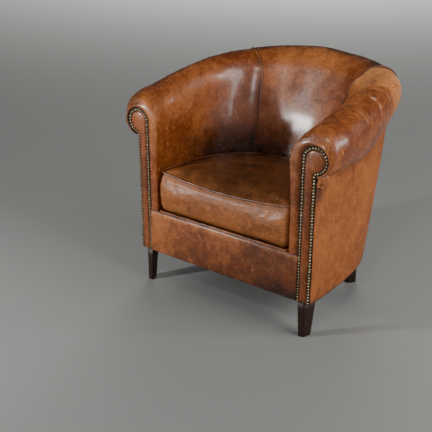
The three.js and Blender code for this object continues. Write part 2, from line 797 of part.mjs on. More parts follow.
function addSeat() {
  const railBack = leather + gap + frontRailThickness + gap;
  strapsAcross.forEach((x, i) => {
    const inside = outlineRadius(outsideHalfWidest, outsideDepth, outsideSquareness, Math.PI / 2 - Math.atan2(Math.abs(x), outsideDepth));
    const end = straightRun + Math.sqrt(inside ** 2 - x ** 2) - seatRailWidth + 4;
    const first = i % 2 ? -1 : 1;
    const geometry = strap(railBack, end, strapsAlong, first, (y, across, z) => new THREE.Vector3(x + across, y, z));
    addPiece("seat_strap_front_back_" + (i + 1), geometry, "webbing");
  });
  strapsAlong.forEach((y, i) => {
    const back = Math.max(0, y + strapWidth / 2 - straightRun) / outsideDepth;
    const half = outsideHalfWidest * (1 - back ** outsideSquareness) ** (1 / outsideSquareness) - seatRailWidth + 4;
    const first = i % 2 ? 1 : -1;
    const geometry = strap(-half, half, strapsAcross, first, (x, across, z) => new THREE.Vector3(x, y + across, z));
    addPiece("seat_strap_side_" + (i + 1), geometry, "webbing");
  });
  const strapTop = seatRailTop + gap + 2 * weave + strapThickness + gap;
  const plan = insidePlan(1, 1, railBack + 1, 6);
  addPiece("seat_stuffing", slab(plan, strapTop, deckHeight - leather - gap), "stuffing");
  const platform = insidePlan(1, 1, 6, 6);
  addPiece("seat_platform_cover", slab(platform, deckHeight - leather, deckHeight), "seat");
}

// Cushion: a boxed cushion with a crowned top and a welt on each edge

// One ring of the cushion: its inset at the sides and rear, its inset at the front, and its height
function cushionRing(insetBy, frontInset, z, squeeze = 1) {
  const plan = insidePlan(cushionSide + insetBy, cushionRear + insetBy, cushionFront + frontInset, cushionCorner);
  return plan.map((p) => new THREE.Vector3(p.x * squeeze, cushionMiddle + (p.y - cushionMiddle) * squeeze, z));
}

// The front sags in its middle and rises to an ear at each corner, and the rear is level
function frontSag(ring, amount) {
  const front = cushionFront + cushionNose;
  return ring.map((p) => {
    const corner = Math.min(1, Math.abs(p.x) / insideHalfWidth) ** 2;
    const near = 1 - smooth(front, cushionMiddle + insideDepth * 0.3, p.y);
    return new THREE.Vector3(p.x, p.y, p.z + amount * near * (corner * (cushionSag + cushionEar) - cushionSag));
  });
}

function addCushion() {
  const bottom = deckHeight + gap;
  const edge = seatHeight + 2;
  const depth = edge - bottom;
  const side = cushionSwell;
  const nose = cushionNose;
  const rings = [
    cushionRing(20, 20, bottom),
    cushionRing(side, 8, bottom + depth * 0.04),
    cushionRing(2, 2, bottom + depth * 0.2),
    cushionRing(0, 0, bottom + depth * 0.45),
    frontSag(cushionRing(1, 2, bottom + depth * 0.7), 0.5),
    frontSag(cushionRing(side * 0.6, nose * 0.45, bottom + depth * 0.9), 0.9),
    frontSag(cushionRing(side, nose - 2, edge - 3), 1),
    frontSag(cushionRing(side + 8, nose + 8, edge + 1), 1),
    frontSag(cushionRing(side, nose, edge + cushionCrown * 0.55, 0.8), 0.9),
    frontSag(cushionRing(side, nose, edge + cushionCrown * 0.9, 0.5), 0.7),
    frontSag(cushionRing(side, nose, edge + cushionCrown, 0.2), 0.6),
  ];
  const flat = rings[0].map((p) => new THREE.Vector2(p.x, p.y));
  addPiece("seat_cushion", loft(rings, flat), "seat");
  const topWelt = frontSag(cushionRing(side - 1, nose - 1, edge + weltRadius - 2.8), 1);
  const bottomWelt = cushionRing(side - weltRadius, 5, bottom + weltRadius + gap);
  addPiece("seat_cushion_top_welt", ringWelt(topWelt), "welt");
  addPiece("seat_cushion_bottom_welt", ringWelt(bottomWelt), "welt");
}

// A welt round a closed ring of points
function ringWelt(points) {
  const count = points.length;
  const rings = points.map((point, i) => {
    const along = points[(i + 1) % count].clone().sub(points[(i + count - 1) % count]).normalize();
    const up = new THREE.Vector3(0, 0, 1);
    const side = along.clone().cross(up).normalize();
    const top = side.clone().cross(along);
    return Array.from({ length: 5 }, (_, k) => {
      const angle = (2 * Math.PI * k) / 5;
      const offset = side.clone().multiplyScalar(Math.cos(angle)).addScaledVector(top, Math.sin(angle));
      return point.clone().addScaledVector(offset, weltRadius - gap);
    });
  });
  const all = rings.flat();
  const faces = [];
  for (let i = 0; i < count; i++) {
    const next = ((i + 1) % count) * 5;
    for (let k = 0; k < 5; k++) {
      const across = (k + 1) % 5;
      faces.push(...quad(i * 5 + k, i * 5 + across, next + across, next + k));
    }
  }
  return geometryFrom(all, faces);
}

// Legs

function rectangle([width, depth], [x, y], z, turn) {
  const corners = [
    [-1, -1],
    [1, -1],
    [1, 1],
    [-1, 1],
  ];
  return corners.map(([i, j]) => {
    const corner = new THREE.Vector2((i * width) / 2, (j * depth) / 2).rotateAround(new THREE.Vector2(), turn);
    return new THREE.Vector3(x + corner.x, y + corner.y, z);
  });
}

function flatOf(ring) {
  return ring.map((p) => new THREE.Vector2(p.x, p.y));
}

// Middle of the right rear leg, a distance behind its top
function rearLegPlace(back) {
  const radius = outlineRadius(outsideHalfWidest, outsideDepth, outsideSquareness, rearLegAngle) - rearLegInset;
  return [radius * Math.cos(rearLegAngle), straightRun + radius * Math.sin(rearLegAngle) + back];
}

function addLegs() {
  const corners = (outline, z) => outline.map(([x, y]) => new THREE.Vector3(outsideHalfFront + x, y, z));
  const front = [corners(frontLegFoot, 0), corners(frontLegTop, underside + dustCloth)];
  addPair("front_leg", loft(front, flatOf(front[0]), flatOf(front[1])), "legWood");
  const rear = [0, 0.35, 0.7, 1].map((share) => {
    const width = THREE.MathUtils.lerp(rearLegFoot[0], rearLegTop[0], share);
    const depth = THREE.MathUtils.lerp(rearLegFoot[1], rearLegTop[1], share);
    const back = rearLegRake * (1 - share) ** 1.6;
    return rectangle([width, depth], rearLegPlace(back), (underside + dustCloth) * share, rearLegTurn);
  });
  addPair("rear_leg", loft(rear, flatOf(rear[0]), flatOf(rear[3])), "legWood");
}

// Cloth under the seat, cut away round the legs

function addDustCloth() {
  const steps = 24;
  const edge = leather + backing + 4;
  const legBack = Math.max(...frontLegTop.map(([, y]) => y)) + 8;
  const legInside = outsideHalfFront + Math.min(...frontLegTop.map(([x]) => x)) - 8;
  const from = halfLength - legBack;
  const outline = [new THREE.Vector2(-legInside, boardBack), new THREE.Vector2(-legInside, legBack)];
  for (const station of stationsBetween(-from, from, steps)) {
    outline.push(new THREE.Vector2(station.x - edge * station.outX, station.y - edge * station.outY));
  }
  outline.push(new THREE.Vector2(legInside, legBack), new THREE.Vector2(legInside, boardBack));
  const wide = rearLegTop.map((size) => size + 4);
  const rings = [underside - 5, underside + 5].map((z) => rectangle(wide, rearLegPlace(0), z, rearLegTurn));
  const tool = loft(rings, flatOf(rings[0]));
  const cloth = slab(outline, underside, underside + dustCloth);
  addPiece("dust_cloth", cutAway(cloth, [tool, mirrored(tool)]), "cloth");
}

addSeatRails();
addFrontCornerBlocks();
addRearCornerBlocks();
addTopRails();
addPosts();
addLiningsAndPadding();
addInsideCovers();
addInsideSeamWelts();
addOutside();
addFacings();
addFrontBorder();
addSeat();
addCushion();
addLegs();
addDustCloth();

// The origin goes under the middle of the chair
const extent = new THREE.Box3().setFromObject(chair);
const middle = extent.getCenter(new THREE.Vector3());
chair.children.forEach((mesh) => mesh.position.set(-middle.x, -middle.y, -extent.min.z));

export default chair;
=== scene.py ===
# %% [markdown]
# # Worn club chair
# The frame holds the chair as plain solids: the wooden frame, the stuffing, the leather panels, the cushion
# and the legs. This script dresses it. Every visible panel is worked out again as a dense, soft surface
# from the same few measures as the solids, so that each one lies where the frame says.

# %% Load the frame
import json
import math

import bmesh
import bpy
import numpy as np
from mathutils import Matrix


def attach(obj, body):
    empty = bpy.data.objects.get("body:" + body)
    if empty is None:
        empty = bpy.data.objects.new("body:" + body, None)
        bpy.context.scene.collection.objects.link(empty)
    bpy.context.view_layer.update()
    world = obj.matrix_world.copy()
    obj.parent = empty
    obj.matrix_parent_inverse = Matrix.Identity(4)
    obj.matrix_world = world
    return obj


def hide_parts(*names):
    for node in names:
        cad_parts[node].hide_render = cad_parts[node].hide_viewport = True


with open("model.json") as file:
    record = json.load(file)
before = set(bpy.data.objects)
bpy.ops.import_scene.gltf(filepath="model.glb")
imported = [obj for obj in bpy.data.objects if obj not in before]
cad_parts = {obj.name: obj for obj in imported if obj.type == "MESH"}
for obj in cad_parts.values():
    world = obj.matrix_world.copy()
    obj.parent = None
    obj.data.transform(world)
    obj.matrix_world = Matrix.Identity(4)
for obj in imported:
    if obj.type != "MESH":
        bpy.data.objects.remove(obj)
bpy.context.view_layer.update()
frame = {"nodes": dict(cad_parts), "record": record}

# %% [markdown]
# ## Camera
# The photograph looks down at the chair from its right front corner. A camera was solved from the chair's
# upright and level lines, so it is set by numbers. Blender's angles turn it about X first, then about Z.

# %% Camera
camera_data = bpy.data.cameras.new("camera")
camera_data.sensor_width = 36.0
camera_data.lens = 63.57
camera = bpy.data.objects.new("camera", camera_data)
bpy.context.scene.collection.objects.link(camera)
camera.location = (1.338, -2.0555, 1.249)
camera.rotation_euler = (math.radians(67.07), 0.0, math.radians(37.93))
bpy.context.scene.camera = camera
print("camera at", tuple(camera.location))

# %% [markdown]
# ## Measures
# These are the chair's measures in metres, with y = 0 at the facings. Each piece is worked out on the right
# side. Its last step mirrors it if it belongs to the left, and moves it by `shift_y`, which puts the origin
# under the middle of the chair.

# %% Measures
shift_y = -0.3195
both_sides = ((1, "right"), (-1, "left"))
outside_half_front, outside_half_widest, outside_depth, outside_squareness = 0.333, 0.341, 0.462, 3.0
inside_half_width, inside_depth, inside_squareness = 0.261, 0.308, 2.6
straight_run, mean_radius, seam_angle = 0.089, 0.430, math.radians(63)
underside, deck_height, seat_height = 0.120, 0.272, 0.405
arm_top, back_top, rise_exponent = 0.654, 0.760, 1.39
neck_front, neck_back, flare_back = 0.525, 0.640, 0.046
facing_inner, facing_outer = 0.2955, 0.331
scroll_x, scroll_z, scroll_radius, neck_fillet = 0.332, 0.571, 0.0365, 0.012
leather, half_gap = 0.0025, 0.0006
half_length = straight_run + math.pi / 2 * mean_radius
seam_run = straight_run + seam_angle * mean_radius
print("half the tub is", round(half_length, 3), "m long, the seam is at", round(seam_run, 3))

# %% [markdown]
# ## Surfaces on a grid
# A leather panel is a sheet of points with two parameters: one along the tub and one round its section.
# Whole arrays of points are worked out at once, from a few curves that rise or swell smoothly. Soft dents
# come from a smooth lattice noise that always gives the same numbers.


# %% Curves and noise
def ease(low, high, value):
    """Goes from 0 at low to 1 at high along the curve 3s^2 - 2s^3."""
    s = np.clip((value - low) / (high - low), 0, 1)
    return s * s * (3 - 2 * s)


def hump(value, middle, width):
    """1 at the middle, falling off to both sides along exp(-s^2), where s counts widths."""
    return np.exp(-(((value - middle) / width) ** 2))


class CubicHermite:
    """A smooth curve through the given knots."""

    def __init__(self, places, values):
        self.places, self.values = np.array(places, dtype=float), np.array(values, dtype=float)
        self.slopes = np.gradient(self.values, self.places)

    def __call__(self, at):
        k = np.clip(np.searchsorted(self.places, at) - 1, 0, len(self.places) - 2)
        width = self.places[k + 1] - self.places[k]
        s = (at - self.places[k]) / width
        rise = self.values[k] * (1 + 2 * s) * (1 - s) ** 2 + self.values[k + 1] * s**2 * (3 - 2 * s)
        return rise + width * (self.slopes[k] * s * (1 - s) ** 2 - self.slopes[k + 1] * s**2 * (1 - s))


def lattice_noise(points, size, seed):
    """Random numbers on a cubic lattice of the given cell size, blended smoothly between the corners."""
    table = np.random.default_rng(seed).uniform(-1, 1, (32, 32, 32))
    scaled = points / size
    cell = np.floor(scaled).astype(int)
    s = scaled - cell
    s = s * s * (3 - 2 * s)
    total = np.zeros(points.shape[:-1])
    for corner in np.ndindex(2, 2, 2):
        weight = np.prod(np.where(np.array(corner) == 1, s, 1 - s), axis=-1)
        index = (cell + corner) % 32
        total += weight * table[index[..., 0], index[..., 1], index[..., 2]]
    return total


print("halfway up the ease:", ease(0, 1, 0.5), "noise at one point:", lattice_noise(np.ones((1, 3)), 0.3, 1))

# %% [markdown]
# ## From grid to piece
# Neighbouring points of a grid make quads. Besides its shape, a mesh carries masks, which the finishes
# read, and a UV map, which says how far along and how far round each point lies.


# %% Grids and pieces
def grid_normals(points):
    """The cross product of the two directions of a grid, made one unit long."""
    along = np.gradient(points, axis=0)
    across = np.gradient(points, axis=1)
    normal = np.cross(across, along)
    return normal / np.maximum(np.linalg.norm(normal, axis=-1, keepdims=True), 1e-12)


def grid_faces(rows, columns, loop_rows=False, loop_columns=False, flip=False):
    """Quads between neighbouring grid points. A looped direction joins its last points to its first."""
    i = np.arange(rows if loop_rows else rows - 1)[:, None]
    j = np.arange(columns if loop_columns else columns - 1)[None, :]
    a = i * columns + j
    b = i * columns + (j + 1) % columns
    c = (i + 1) % rows * columns + (j + 1) % columns
    d = (i + 1) % rows * columns + j
    faces = np.stack([a, b, c, d], axis=-1).reshape(-1, 4)
    return faces[:, ::-1] if flip else faces


def make_piece(name, points, faces, masks=None, uv=None):
    """Puts points and quads into a mesh, with one float attribute for each mask and a UV map."""
    flat = np.asarray(points, dtype=float).reshape(-1, 3)
    mesh = bpy.data.meshes.new(name)
    mesh.from_pydata(flat.tolist(), [], np.asarray(faces).tolist())
    for mask_name, values in (masks or {}).items():
        layer = mesh.attributes.new(mask_name, "FLOAT", "POINT")
        layer.data.foreach_set("value", np.asarray(values).astype(np.float32).ravel())
    if uv is not None:
        corner = np.zeros(len(mesh.loops), dtype=np.int32)
        mesh.loops.foreach_get("vertex_index", corner)
        layer = mesh.uv_layers.new(name="UVMap")
        layer.data.foreach_set("uv", np.asarray(uv).reshape(-1, 2)[corner].astype(np.float32).ravel())
    mesh.polygons.foreach_set("use_smooth", np.ones(len(mesh.polygons), dtype=bool))
    mesh.update()
    piece = bpy.data.objects.new(name, mesh)
    bpy.context.scene.collection.objects.link(piece)
    return piece


def leather_masks(rubbed, dark):
    """The two masks that every leather reads, kept between 0 and 1."""
    return {"rubbed": np.clip(rubbed, 0, 1), "dark": np.clip(dark, 0, 1)}


def thicken(piece, thickness):
    """Gives a sheet its thickness, on the inner side."""
    solid = piece.modifiers.new("thickness", "SOLIDIFY")
    solid.thickness = thickness
    solid.offset = -1.0
    solid.use_even_offset = True


def in_frame(points, side=1):
    """Moves points from the facing's frame into the shared one, on the right or, for side -1, the left."""
    return points * [side, 1.0, 1.0] + np.array([0.0, shift_y, 0.0])


print("a grid of 3 by 4 points has", len(grid_faces(3, 4)), "quads")

# %% [markdown]
# ## Shader maths
# A material is a graph of nodes. Writing it as Python expressions keeps it readable: a small class wraps
# an output socket, and `1 - mask * 0.5` then adds the Math nodes. Every other node comes from one method.


# %% Signals
class Signal:
    """One output socket. Arithmetic on it adds Math nodes to the same material."""

    def __init__(self, finish, socket):
        self.finish, self.socket = finish, socket

    def math(self, operation, *others):
        """A Math node of this signal and the others."""
        values = dict(enumerate((self, *others)))
        return self.finish.add("ShaderNodeMath", {"operation": operation}, values)

    def __add__(self, other):
        return self.math("ADD", other)

    def __sub__(self, other):
        return self.math("SUBTRACT", other)

    def __rsub__(self, other):
        return self.finish.add("ShaderNodeMath", {"operation": "SUBTRACT"}, {0: other, 1: self})

    def __mul__(self, other):
        return self.math("MULTIPLY", other)

    __radd__, __rmul__ = __add__, __mul__

    def clamp(self):
        """The signal kept between 0 and 1."""
        return self.math("MAXIMUM", 0.0).math("MINIMUM", 1.0)

    def band(self, low, high):
        """0 below low, 1 above high, and a straight rise between them."""
        settings = {"interpolation_type": "LINEAR", "clamp": True}
        values = {"Value": self, "From Min": low, "From Max": high}
        return self.finish.add("ShaderNodeMapRange", settings, values)


print("what a signal can do:", [name for name in vars(Signal) if not name.startswith("__")])

# %% [markdown]
# ## Finishes
# A finish is a material while it is being made. It adds nodes to its own graph, and its short methods stand
# for the few textures that this chair needs. Closing it joins a Principled shader to the output.

# %% Finishes
finishes = {}


class Finish:
    """A material that is being made. The frame's plain material of the same name gives up its name."""

    def __init__(self, name):
        plain = bpy.data.materials.get(name)
        if plain is not None:
            plain.name = name + "_plain"
        self.material = finishes[name] = bpy.data.materials.new(name)
        self.material.use_nodes = True
        self.tree = self.material.node_tree
        self.tree.nodes.clear()

    def add(self, kind, settings=None, values=None, output=0):
        """Adds a node, applies its settings, then sets or links its inputs, and returns one output."""
        node = self.tree.nodes.new(kind)
        for key, value in (settings or {}).items():
            setattr(node, key, value)
        for key, value in (values or {}).items():
            socket = node.inputs[key]
            if isinstance(value, Signal):
                self.tree.links.new(value.socket, socket)
            elif isinstance(value, tuple) and len(value) == 3 and len(socket.default_value) == 4:
                socket.default_value = (*value, 1.0)
            else:
                socket.default_value = value
        return Signal(self, node.outputs[output])

    def mix(self, factor, first, second):
        """A colour between first, at factor 0, and second, at factor 1."""
        settings = {"data_type": "RGBA", "clamp_factor": True}
        return self.add("ShaderNodeMix", settings, {0: factor, 6: first, 7: second}, output=2)

    def place(self):
        """Object coordinates, which are metres in the shared frame."""
        return self.add("ShaderNodeTexCoord", output=3)

    def noise(self, where, scale, detail=3.0, roughness=0.5):
        """Cloudy noise with the given number of cells in a metre."""
        values = {"Vector": where, "Scale": scale, "Detail": detail, "Roughness": roughness}
        return self.add("ShaderNodeTexNoise", {"noise_dimensions": "3D"}, values)

    def warped(self, where, scale, amount):
        """The same place pushed about by noise, by up to the amount in metres."""
        values = {"Vector": where, "Scale": scale, "Detail": 2.0}
        push = self.add("ShaderNodeTexNoise", {"noise_dimensions": "3D"}, values, output=1)
        values = {0: push, 1: (amount,) * 3, 2: where}
        return self.add("ShaderNodeVectorMath", {"operation": "MULTIPLY_ADD"}, values)

    def cells(self, where, scale):
        """Distance to the nearest wall between cells, which is 0 along a network of lines."""
        values = {"Vector": where, "Scale": scale}
        return self.add("ShaderNodeTexVoronoi", {"feature": "DISTANCE_TO_EDGE"}, values)

    def mask(self, name):
        """A float attribute of the mesh."""
        return self.add("ShaderNodeAttribute", {"attribute_name": name}, output=2)

    def stretched(self, where, scale):
        """The same place with each axis scaled by its own amount."""
        return self.add("ShaderNodeMapping", {"vector_type": "POINT"}, {"Vector": where, "Scale": scale})

    def bump(self, height, distance, strength, under=None):
        """A bump of the given height in metres, over an earlier one if there is one."""
        values = {"Height": height, "Distance": distance, "Strength": strength}
        if under is not None:
            values["Normal"] = under
        return self.add("ShaderNodeBump", {}, values)

    def close(self, varying, constant):
        """Ends the graph: a Principled shader with linked inputs and plain numbers, joined to the output."""
        shader = self.add("ShaderNodeBsdfPrincipled", {}, {**varying, **constant})
        output = self.tree.nodes.new("ShaderNodeOutputMaterial")
        self.tree.links.new(shader.socket, output.inputs["Surface"])


print("what a finish can do:", [name for name in vars(Finish) if not name.startswith("__")])

# %% [markdown]
# ## Leather
# Old leather is stained, and use rubs the stain off: high places go orange and dull, low places keep
# dark wax and shine. Two masks on each mesh say where it is `rubbed` and where it is `dark`, and noise
# breaks up their edges. The `dark` mask carries wax and dirt, and also painted shade: in recesses, under the
# roll, in the groove at the nails and along the top rear of the roll. A crease shows in the colour as well as
# in the relief. Its valley is painted dark, as gathered wax and as painted shade, and its worn ridge pale, so
# both are made from one network of cell walls. Pores are bump only.


# %% Leather finish
def darker(color, share):
    """The same colour with less light in it."""
    return tuple(channel * share for channel in color)


def leather_finish(name, stain, bare, deep, rough, coat, streaks):
    """Stained leather: cloudy stain, bare colour where it is rubbed, deep colour where wax has gathered and
    where shade is painted.
    """
    f = Finish(name)
    where = f.place()
    bent = f.warped(where, 22.0, 0.030)
    rubbed, dark = f.mask("rubbed"), f.mask("dark")

    # Clouds of stain, from the size of a hand down to specks, and long streaks
    clouds = f.noise(bent, 6.0, 2.0, 0.5) - 0.5
    mottle = f.noise(bent, 30.0, 6.0, 0.70) - 0.5
    fine = f.noise(where, 190.0, 5.0, 0.70) - 0.5
    long_lines = f.noise(f.stretched(where, (1.0, 1.0, 0.13)), 70.0, 4.0, 0.6) - 0.5
    cloudy = clouds * 0.75 + mottle * 0.75 + fine * 0.60 + long_lines * streaks
    pale = (rubbed + cloudy * 0.9).band(0.15, 1.0)
    # The `dark` mask brings wax, dirt and painted shade
    shade = (dark - cloudy * 0.7).band(0.08, 1.0)

    # Wrinkles, a finer crackle, and long furrows with a ridge on each side
    wrinkles = f.cells(f.warped(where, 60.0, 0.014), 58.0)
    crackle = f.cells(f.warped(where, 130.0, 0.007), 180.0)
    line, wide = 1 - wrinkles.band(0.0, 0.035), 1 - wrinkles.band(0.0, 0.085)
    thread = 1 - crackle.band(0.0, 0.07)
    worn_lines = (wide * 0.8 + thread * 0.6) * (rubbed * 1.7 + mottle * 2.2 - 0.60).clamp()
    long_cells = f.cells(f.stretched(f.warped(where, 26.0, 0.022), (1.0, 1.5, 2.4)), 34.0)
    furrow = (1 - long_cells.band(0.0, 0.10)) * (rubbed * 2.2 + mottle * 1.5 - 1.1).clamp()
    beside = long_cells.band(0.03, 0.10) - long_cells.band(0.10, 0.24)
    ridge = beside * (rubbed * 2.2 + mottle * 2.5 - 1.2).clamp()

    # Scratches and rubs show the bare hide
    scratches = f.noise(f.stretched(bent, (2.4, 1.0, 0.45)), 110.0, 2.0, 0.5).band(0.68, 0.71)
    rubs = f.noise(where, 62.0, 5.0, 0.7).band(0.64, 0.72) * (0.25 + rubbed)
    marks = (worn_lines * 0.75 + scratches * 0.6 + rubs * 0.6 + ridge * 0.6).clamp()
    hide = tuple(min(1.0, channel * 1.7 + 0.03) for channel in bare)

    color = f.mix((0.60 + cloudy * 1.7).clamp(), deep, stain)
    color = f.mix(pale, color, bare)
    # Wrinkle lines and furrow valleys are painted dark, as gathered wax and as painted shade
    color = f.mix(((line + thread * 0.6) * (1 - pale) * 0.35).clamp(), color, darker(deep, 0.5))
    color = f.mix(marks * 0.75, color, hide)
    color = f.mix(furrow * 0.80, color, deep)
    # Where `dark` is high, wax, dirt and painted shade go nearly black
    color = f.mix(shade * 0.93, color, darker(deep, 0.22))
    roughness = rough + pale * 0.10 + mottle * 0.25 + marks * 0.20

    # Three depths of relief: soft unevenness, folds, and the grain with its pores
    soft = f.bump(clouds + mottle * 0.5, 0.0040, 0.35)
    folds = wrinkles.band(0.0, 0.10) + crackle.band(0.0, 0.12) * 0.4 - furrow * 0.9
    pores = f.cells(where, 700.0).band(0.0, 0.25)
    grain = f.bump(pores + fine * 1.2, 0.00022, 0.45, f.bump(folds, 0.0009, 0.45, soft))
    varying = {"Base Color": color, "Roughness": roughness.clamp(), "Normal": grain}
    f.close(varying, {"Specular IOR Level": 0.36, "Coat Weight": coat, "Coat Roughness": 0.20})


print("a colour at half its strength:", darker((0.20, 0.10, 0.04), 0.5))

# %% [markdown]
# ## Six leathers
# All the leathers come from that one graph. What differs is the stain, the colour under it, the colour of
# its wax, which is also the colour of its painted shade, how rough it is, how much polish lies over it, and
# how streaky it is. The outside panels have dried out and gone matt, the arms and facings are polished by
# hands, and the seat by sitting.

# %% Leathers
umber = (0.085, 0.019, 0.0045)
leathers = {
    # stain, bare hide, wax and painted shade, roughness, coat, streaks
    "arm_leather": ((0.275, 0.066, 0.012), (0.60, 0.225, 0.066), umber, 0.26, 0.42, 0.0),
    "worn_leather": ((0.27, 0.072, 0.013), (0.36, 0.110, 0.024), (0.15, 0.034, 0.006), 0.50, 0.0, 0.45),
    "facing_leather": ((0.25, 0.062, 0.013), (0.38, 0.115, 0.030), umber, 0.22, 0.45, 0.0),
    "seat_leather": ((0.175, 0.056, 0.013), (0.37, 0.118, 0.028), (0.060, 0.020, 0.005), 0.37, 0.05, 0.0),
    "welt_leather": ((0.17, 0.043, 0.010), (0.40, 0.130, 0.036), (0.045, 0.012, 0.003), 0.32, 0.25, 0.0),
    # The strip is near black, as its own colour and as painted shade of the groove beside the nails
    "strip_leather": ((0.020, 0.008, 0.004), (0.07, 0.026, 0.010), (0.007, 0.003, 0.002), 0.55, 0.0, 0.0),
}
for name, (stain, bare, deep, rough, coat, streaks) in leathers.items():
    leather_finish(name, stain, bare, deep, rough, coat, streaks)
print("leathers:", sorted(finishes))

# %% [markdown]
# ## Wood, brass and cloth
# The legs are stained nearly black. The nail heads are brass that has gone brown, bright only where they
# are touched. The frame, webbing and felt are inside, so plain finishes do, yet each has its own grain.


# %% Other finishes
def wood_finish(name, light, dark, rough):
    """Long streaks of grain along Z, broken by noise."""
    f = Finish(name)
    where = f.place()
    streak = f.noise(f.stretched(where, (1.0, 1.0, 0.06)), 260.0, 5.0, 0.6)
    cloud = f.noise(where, 30.0, 3.0)
    color = f.mix((streak * 0.8 + cloud * 0.4 - 0.1).clamp(), dark, light)
    roughness = (rough + (streak - 0.5) * 0.2).clamp()
    varying = {"Base Color": color, "Roughness": roughness, "Normal": f.bump(streak, 0.0003, 0.4)}
    f.close(varying, {"Specular IOR Level": 0.3})


def brass_finish():
    """Aged brass: brown film with brighter metal where it is rubbed."""
    f = Finish("nail_brass")
    film = f.noise(f.place(), 260.0, 4.0, 0.6).band(0.42, 0.62)
    color = f.mix(film, (0.66, 0.52, 0.30), (0.20, 0.135, 0.070))
    f.close({"Base Color": color, "Roughness": (0.24 + film * 0.20).clamp()}, {"Metallic": 0.9})


def woven_finish(name, light, dark, count):
    """Two sets of crossing threads with some fluff."""
    f = Finish(name)
    where = f.place()
    values = {"Vector": where, "Scale": count}
    threads = [f.add("ShaderNodeTexWave", {"bands_direction": axis}, values) for axis in "XY"]
    weave = threads[0] * 0.5 + threads[1] * 0.5
    fluff = f.noise(where, 400.0, 3.0)
    color = f.mix((weave * 0.7 + fluff * 0.5 - 0.1).clamp(), dark, light)
    f.close({"Base Color": color, "Normal": f.bump(weave, 0.0004, 0.6)}, {"Roughness": 0.92})


wood_finish("leg_wood", (0.034, 0.013, 0.007), (0.012, 0.005, 0.003), 0.46)
wood_finish("frame_wood", (0.50, 0.33, 0.17), (0.34, 0.20, 0.09), 0.6)
brass_finish()
woven_finish("webbing", (0.42, 0.33, 0.20), (0.22, 0.16, 0.09), 300.0)
woven_finish("stuffing", (0.60, 0.51, 0.35), (0.42, 0.34, 0.21), 90.0)
woven_finish("dust_cloth", (0.035, 0.032, 0.03), (0.012, 0.011, 0.010), 500.0)
print("finishes:", sorted(finishes))

# %% [markdown]
# ## Dressing a piece
# The frame's own solids get their finishes first, by the slot that the record gives each of them. A new
# piece then gets its finish, rides on the root body, and hides the solids it stands for.

# %% Dressing a piece
slots = {entry["node"]: entry["material_slot"] for entry in frame["record"]["subparts"]}
for node, node_object in frame["nodes"].items():
    for material_slot in node_object.material_slots:
        material_slot.material = finishes[slots[node]]


def dress(piece, finish, *nodes, fill=None, slot=None):
    """Gives a piece its finish, lets it ride, and hides the solids it stands for."""
    piece.data.materials.append(finishes[finish])
    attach(piece, "root")
    if nodes:
        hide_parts(*nodes)
    print(piece.name, len(piece.data.polygons), "faces")


print("slots of the record:", sorted(set(slots.values())))

# %% [markdown]
# ## The tub
# Seen from above, the tub is a horseshoe: straight at the arms and a squared-off ellipse round the back.
# A station is an upright cut through it, at a distance along it that the script calls its run.


# %% Stations
def superellipse(half_width, depth, squareness, angle):
    """Radius at an angle of |cos/half_width|^n + |sin/depth|^n = 1."""
    across, back = np.abs(np.cos(angle)) / half_width, np.abs(np.sin(angle)) / depth
    return (across**squareness + back**squareness) ** (-1 / squareness)


def stations(run):
    """Base point, outward direction and wall thickness at each distance from the right facing.

    The base line bows out gently along the arm, then follows a superellipse round the back.
    """
    run = np.asarray(run, dtype=float)
    side = np.where(run > half_length, -1.0, 1.0)
    near = np.minimum(run, 2 * half_length - run)
    bow = 1 - (1 - np.minimum(near / straight_run, 1)) ** 2
    straight_x = outside_half_front + (outside_half_widest - outside_half_front) * bow
    angle = np.maximum(near - straight_run, 0) / mean_radius
    radius = superellipse(outside_half_widest, outside_depth, outside_squareness, angle)
    inner = superellipse(inside_half_width, inside_depth, inside_squareness, angle)
    on_arm = near < straight_run
    out_x, out_y = np.where(on_arm, 1.0, np.cos(angle)), np.where(on_arm, 0.0, np.sin(angle))
    x = np.where(on_arm, straight_x, radius * out_x)
    y = np.where(on_arm, near, straight_run + radius * out_y)
    wall = np.where(on_arm, straight_x - inside_half_width, radius - inner)
    at = {"x": side * x, "y": y, "out_x": side * out_x, "out_y": out_y, "wall": wall}
    return {**at, "run": near, "share": near / half_length}


def neck_height(share):
    """Height of the neck, where the roll meets the outside panel: low at the arms, high at the back."""
    return neck_front + (neck_back - neck_front) * ease(0.2, 0.68, share)


def flare(share):
    """How far the outside panel leans out by the time it reaches the neck: more towards the back."""
    return flare_back * ease(0, 0.55, share)


def place(at, u, z):
    """Points at distance u out from the base line and at height z."""
    return np.stack([at["x"] + u * at["out_x"], at["y"] + u * at["out_y"], z + 0 * u], axis=-1)


print("wall at the facing and in the middle:", stations([0, half_length])["wall"].round(3))

# %% [markdown]
# ## Its section
# The section climbs the inside, leans back, goes over the roll and comes down outside to the neck. It is
# three curves in a row, so a short blur takes out the bend where the inside runs into the roll.

# %% Sections
inside_count, crown_count, drop_count = 44, 50, 24
section_count = inside_count + crown_count + drop_count


def edge_share(run):
    """1 at the facing and 0 where the roll has its full size, along a quarter circle."""
    reach = np.clip(1 - run / 0.026, 0, 1)
    return 1 - np.sqrt(1 - reach**2)


def roll_at(at):
    """Half width, crown, middle height and shift of the roll."""
    back, edge = ease(0.38, 0.72, at["share"]), edge_share(at["run"])
    half = 0.067 + 0.013 * back
    crown = 0.062 + 0.005 * back
    top = arm_top + (back_top - arm_top) * (1 - (1 - at["share"]) ** rise_exponent) - 0.021 * edge
    return half, crown, top - crown, -0.008 + 0.023 * back - 0.008 * edge


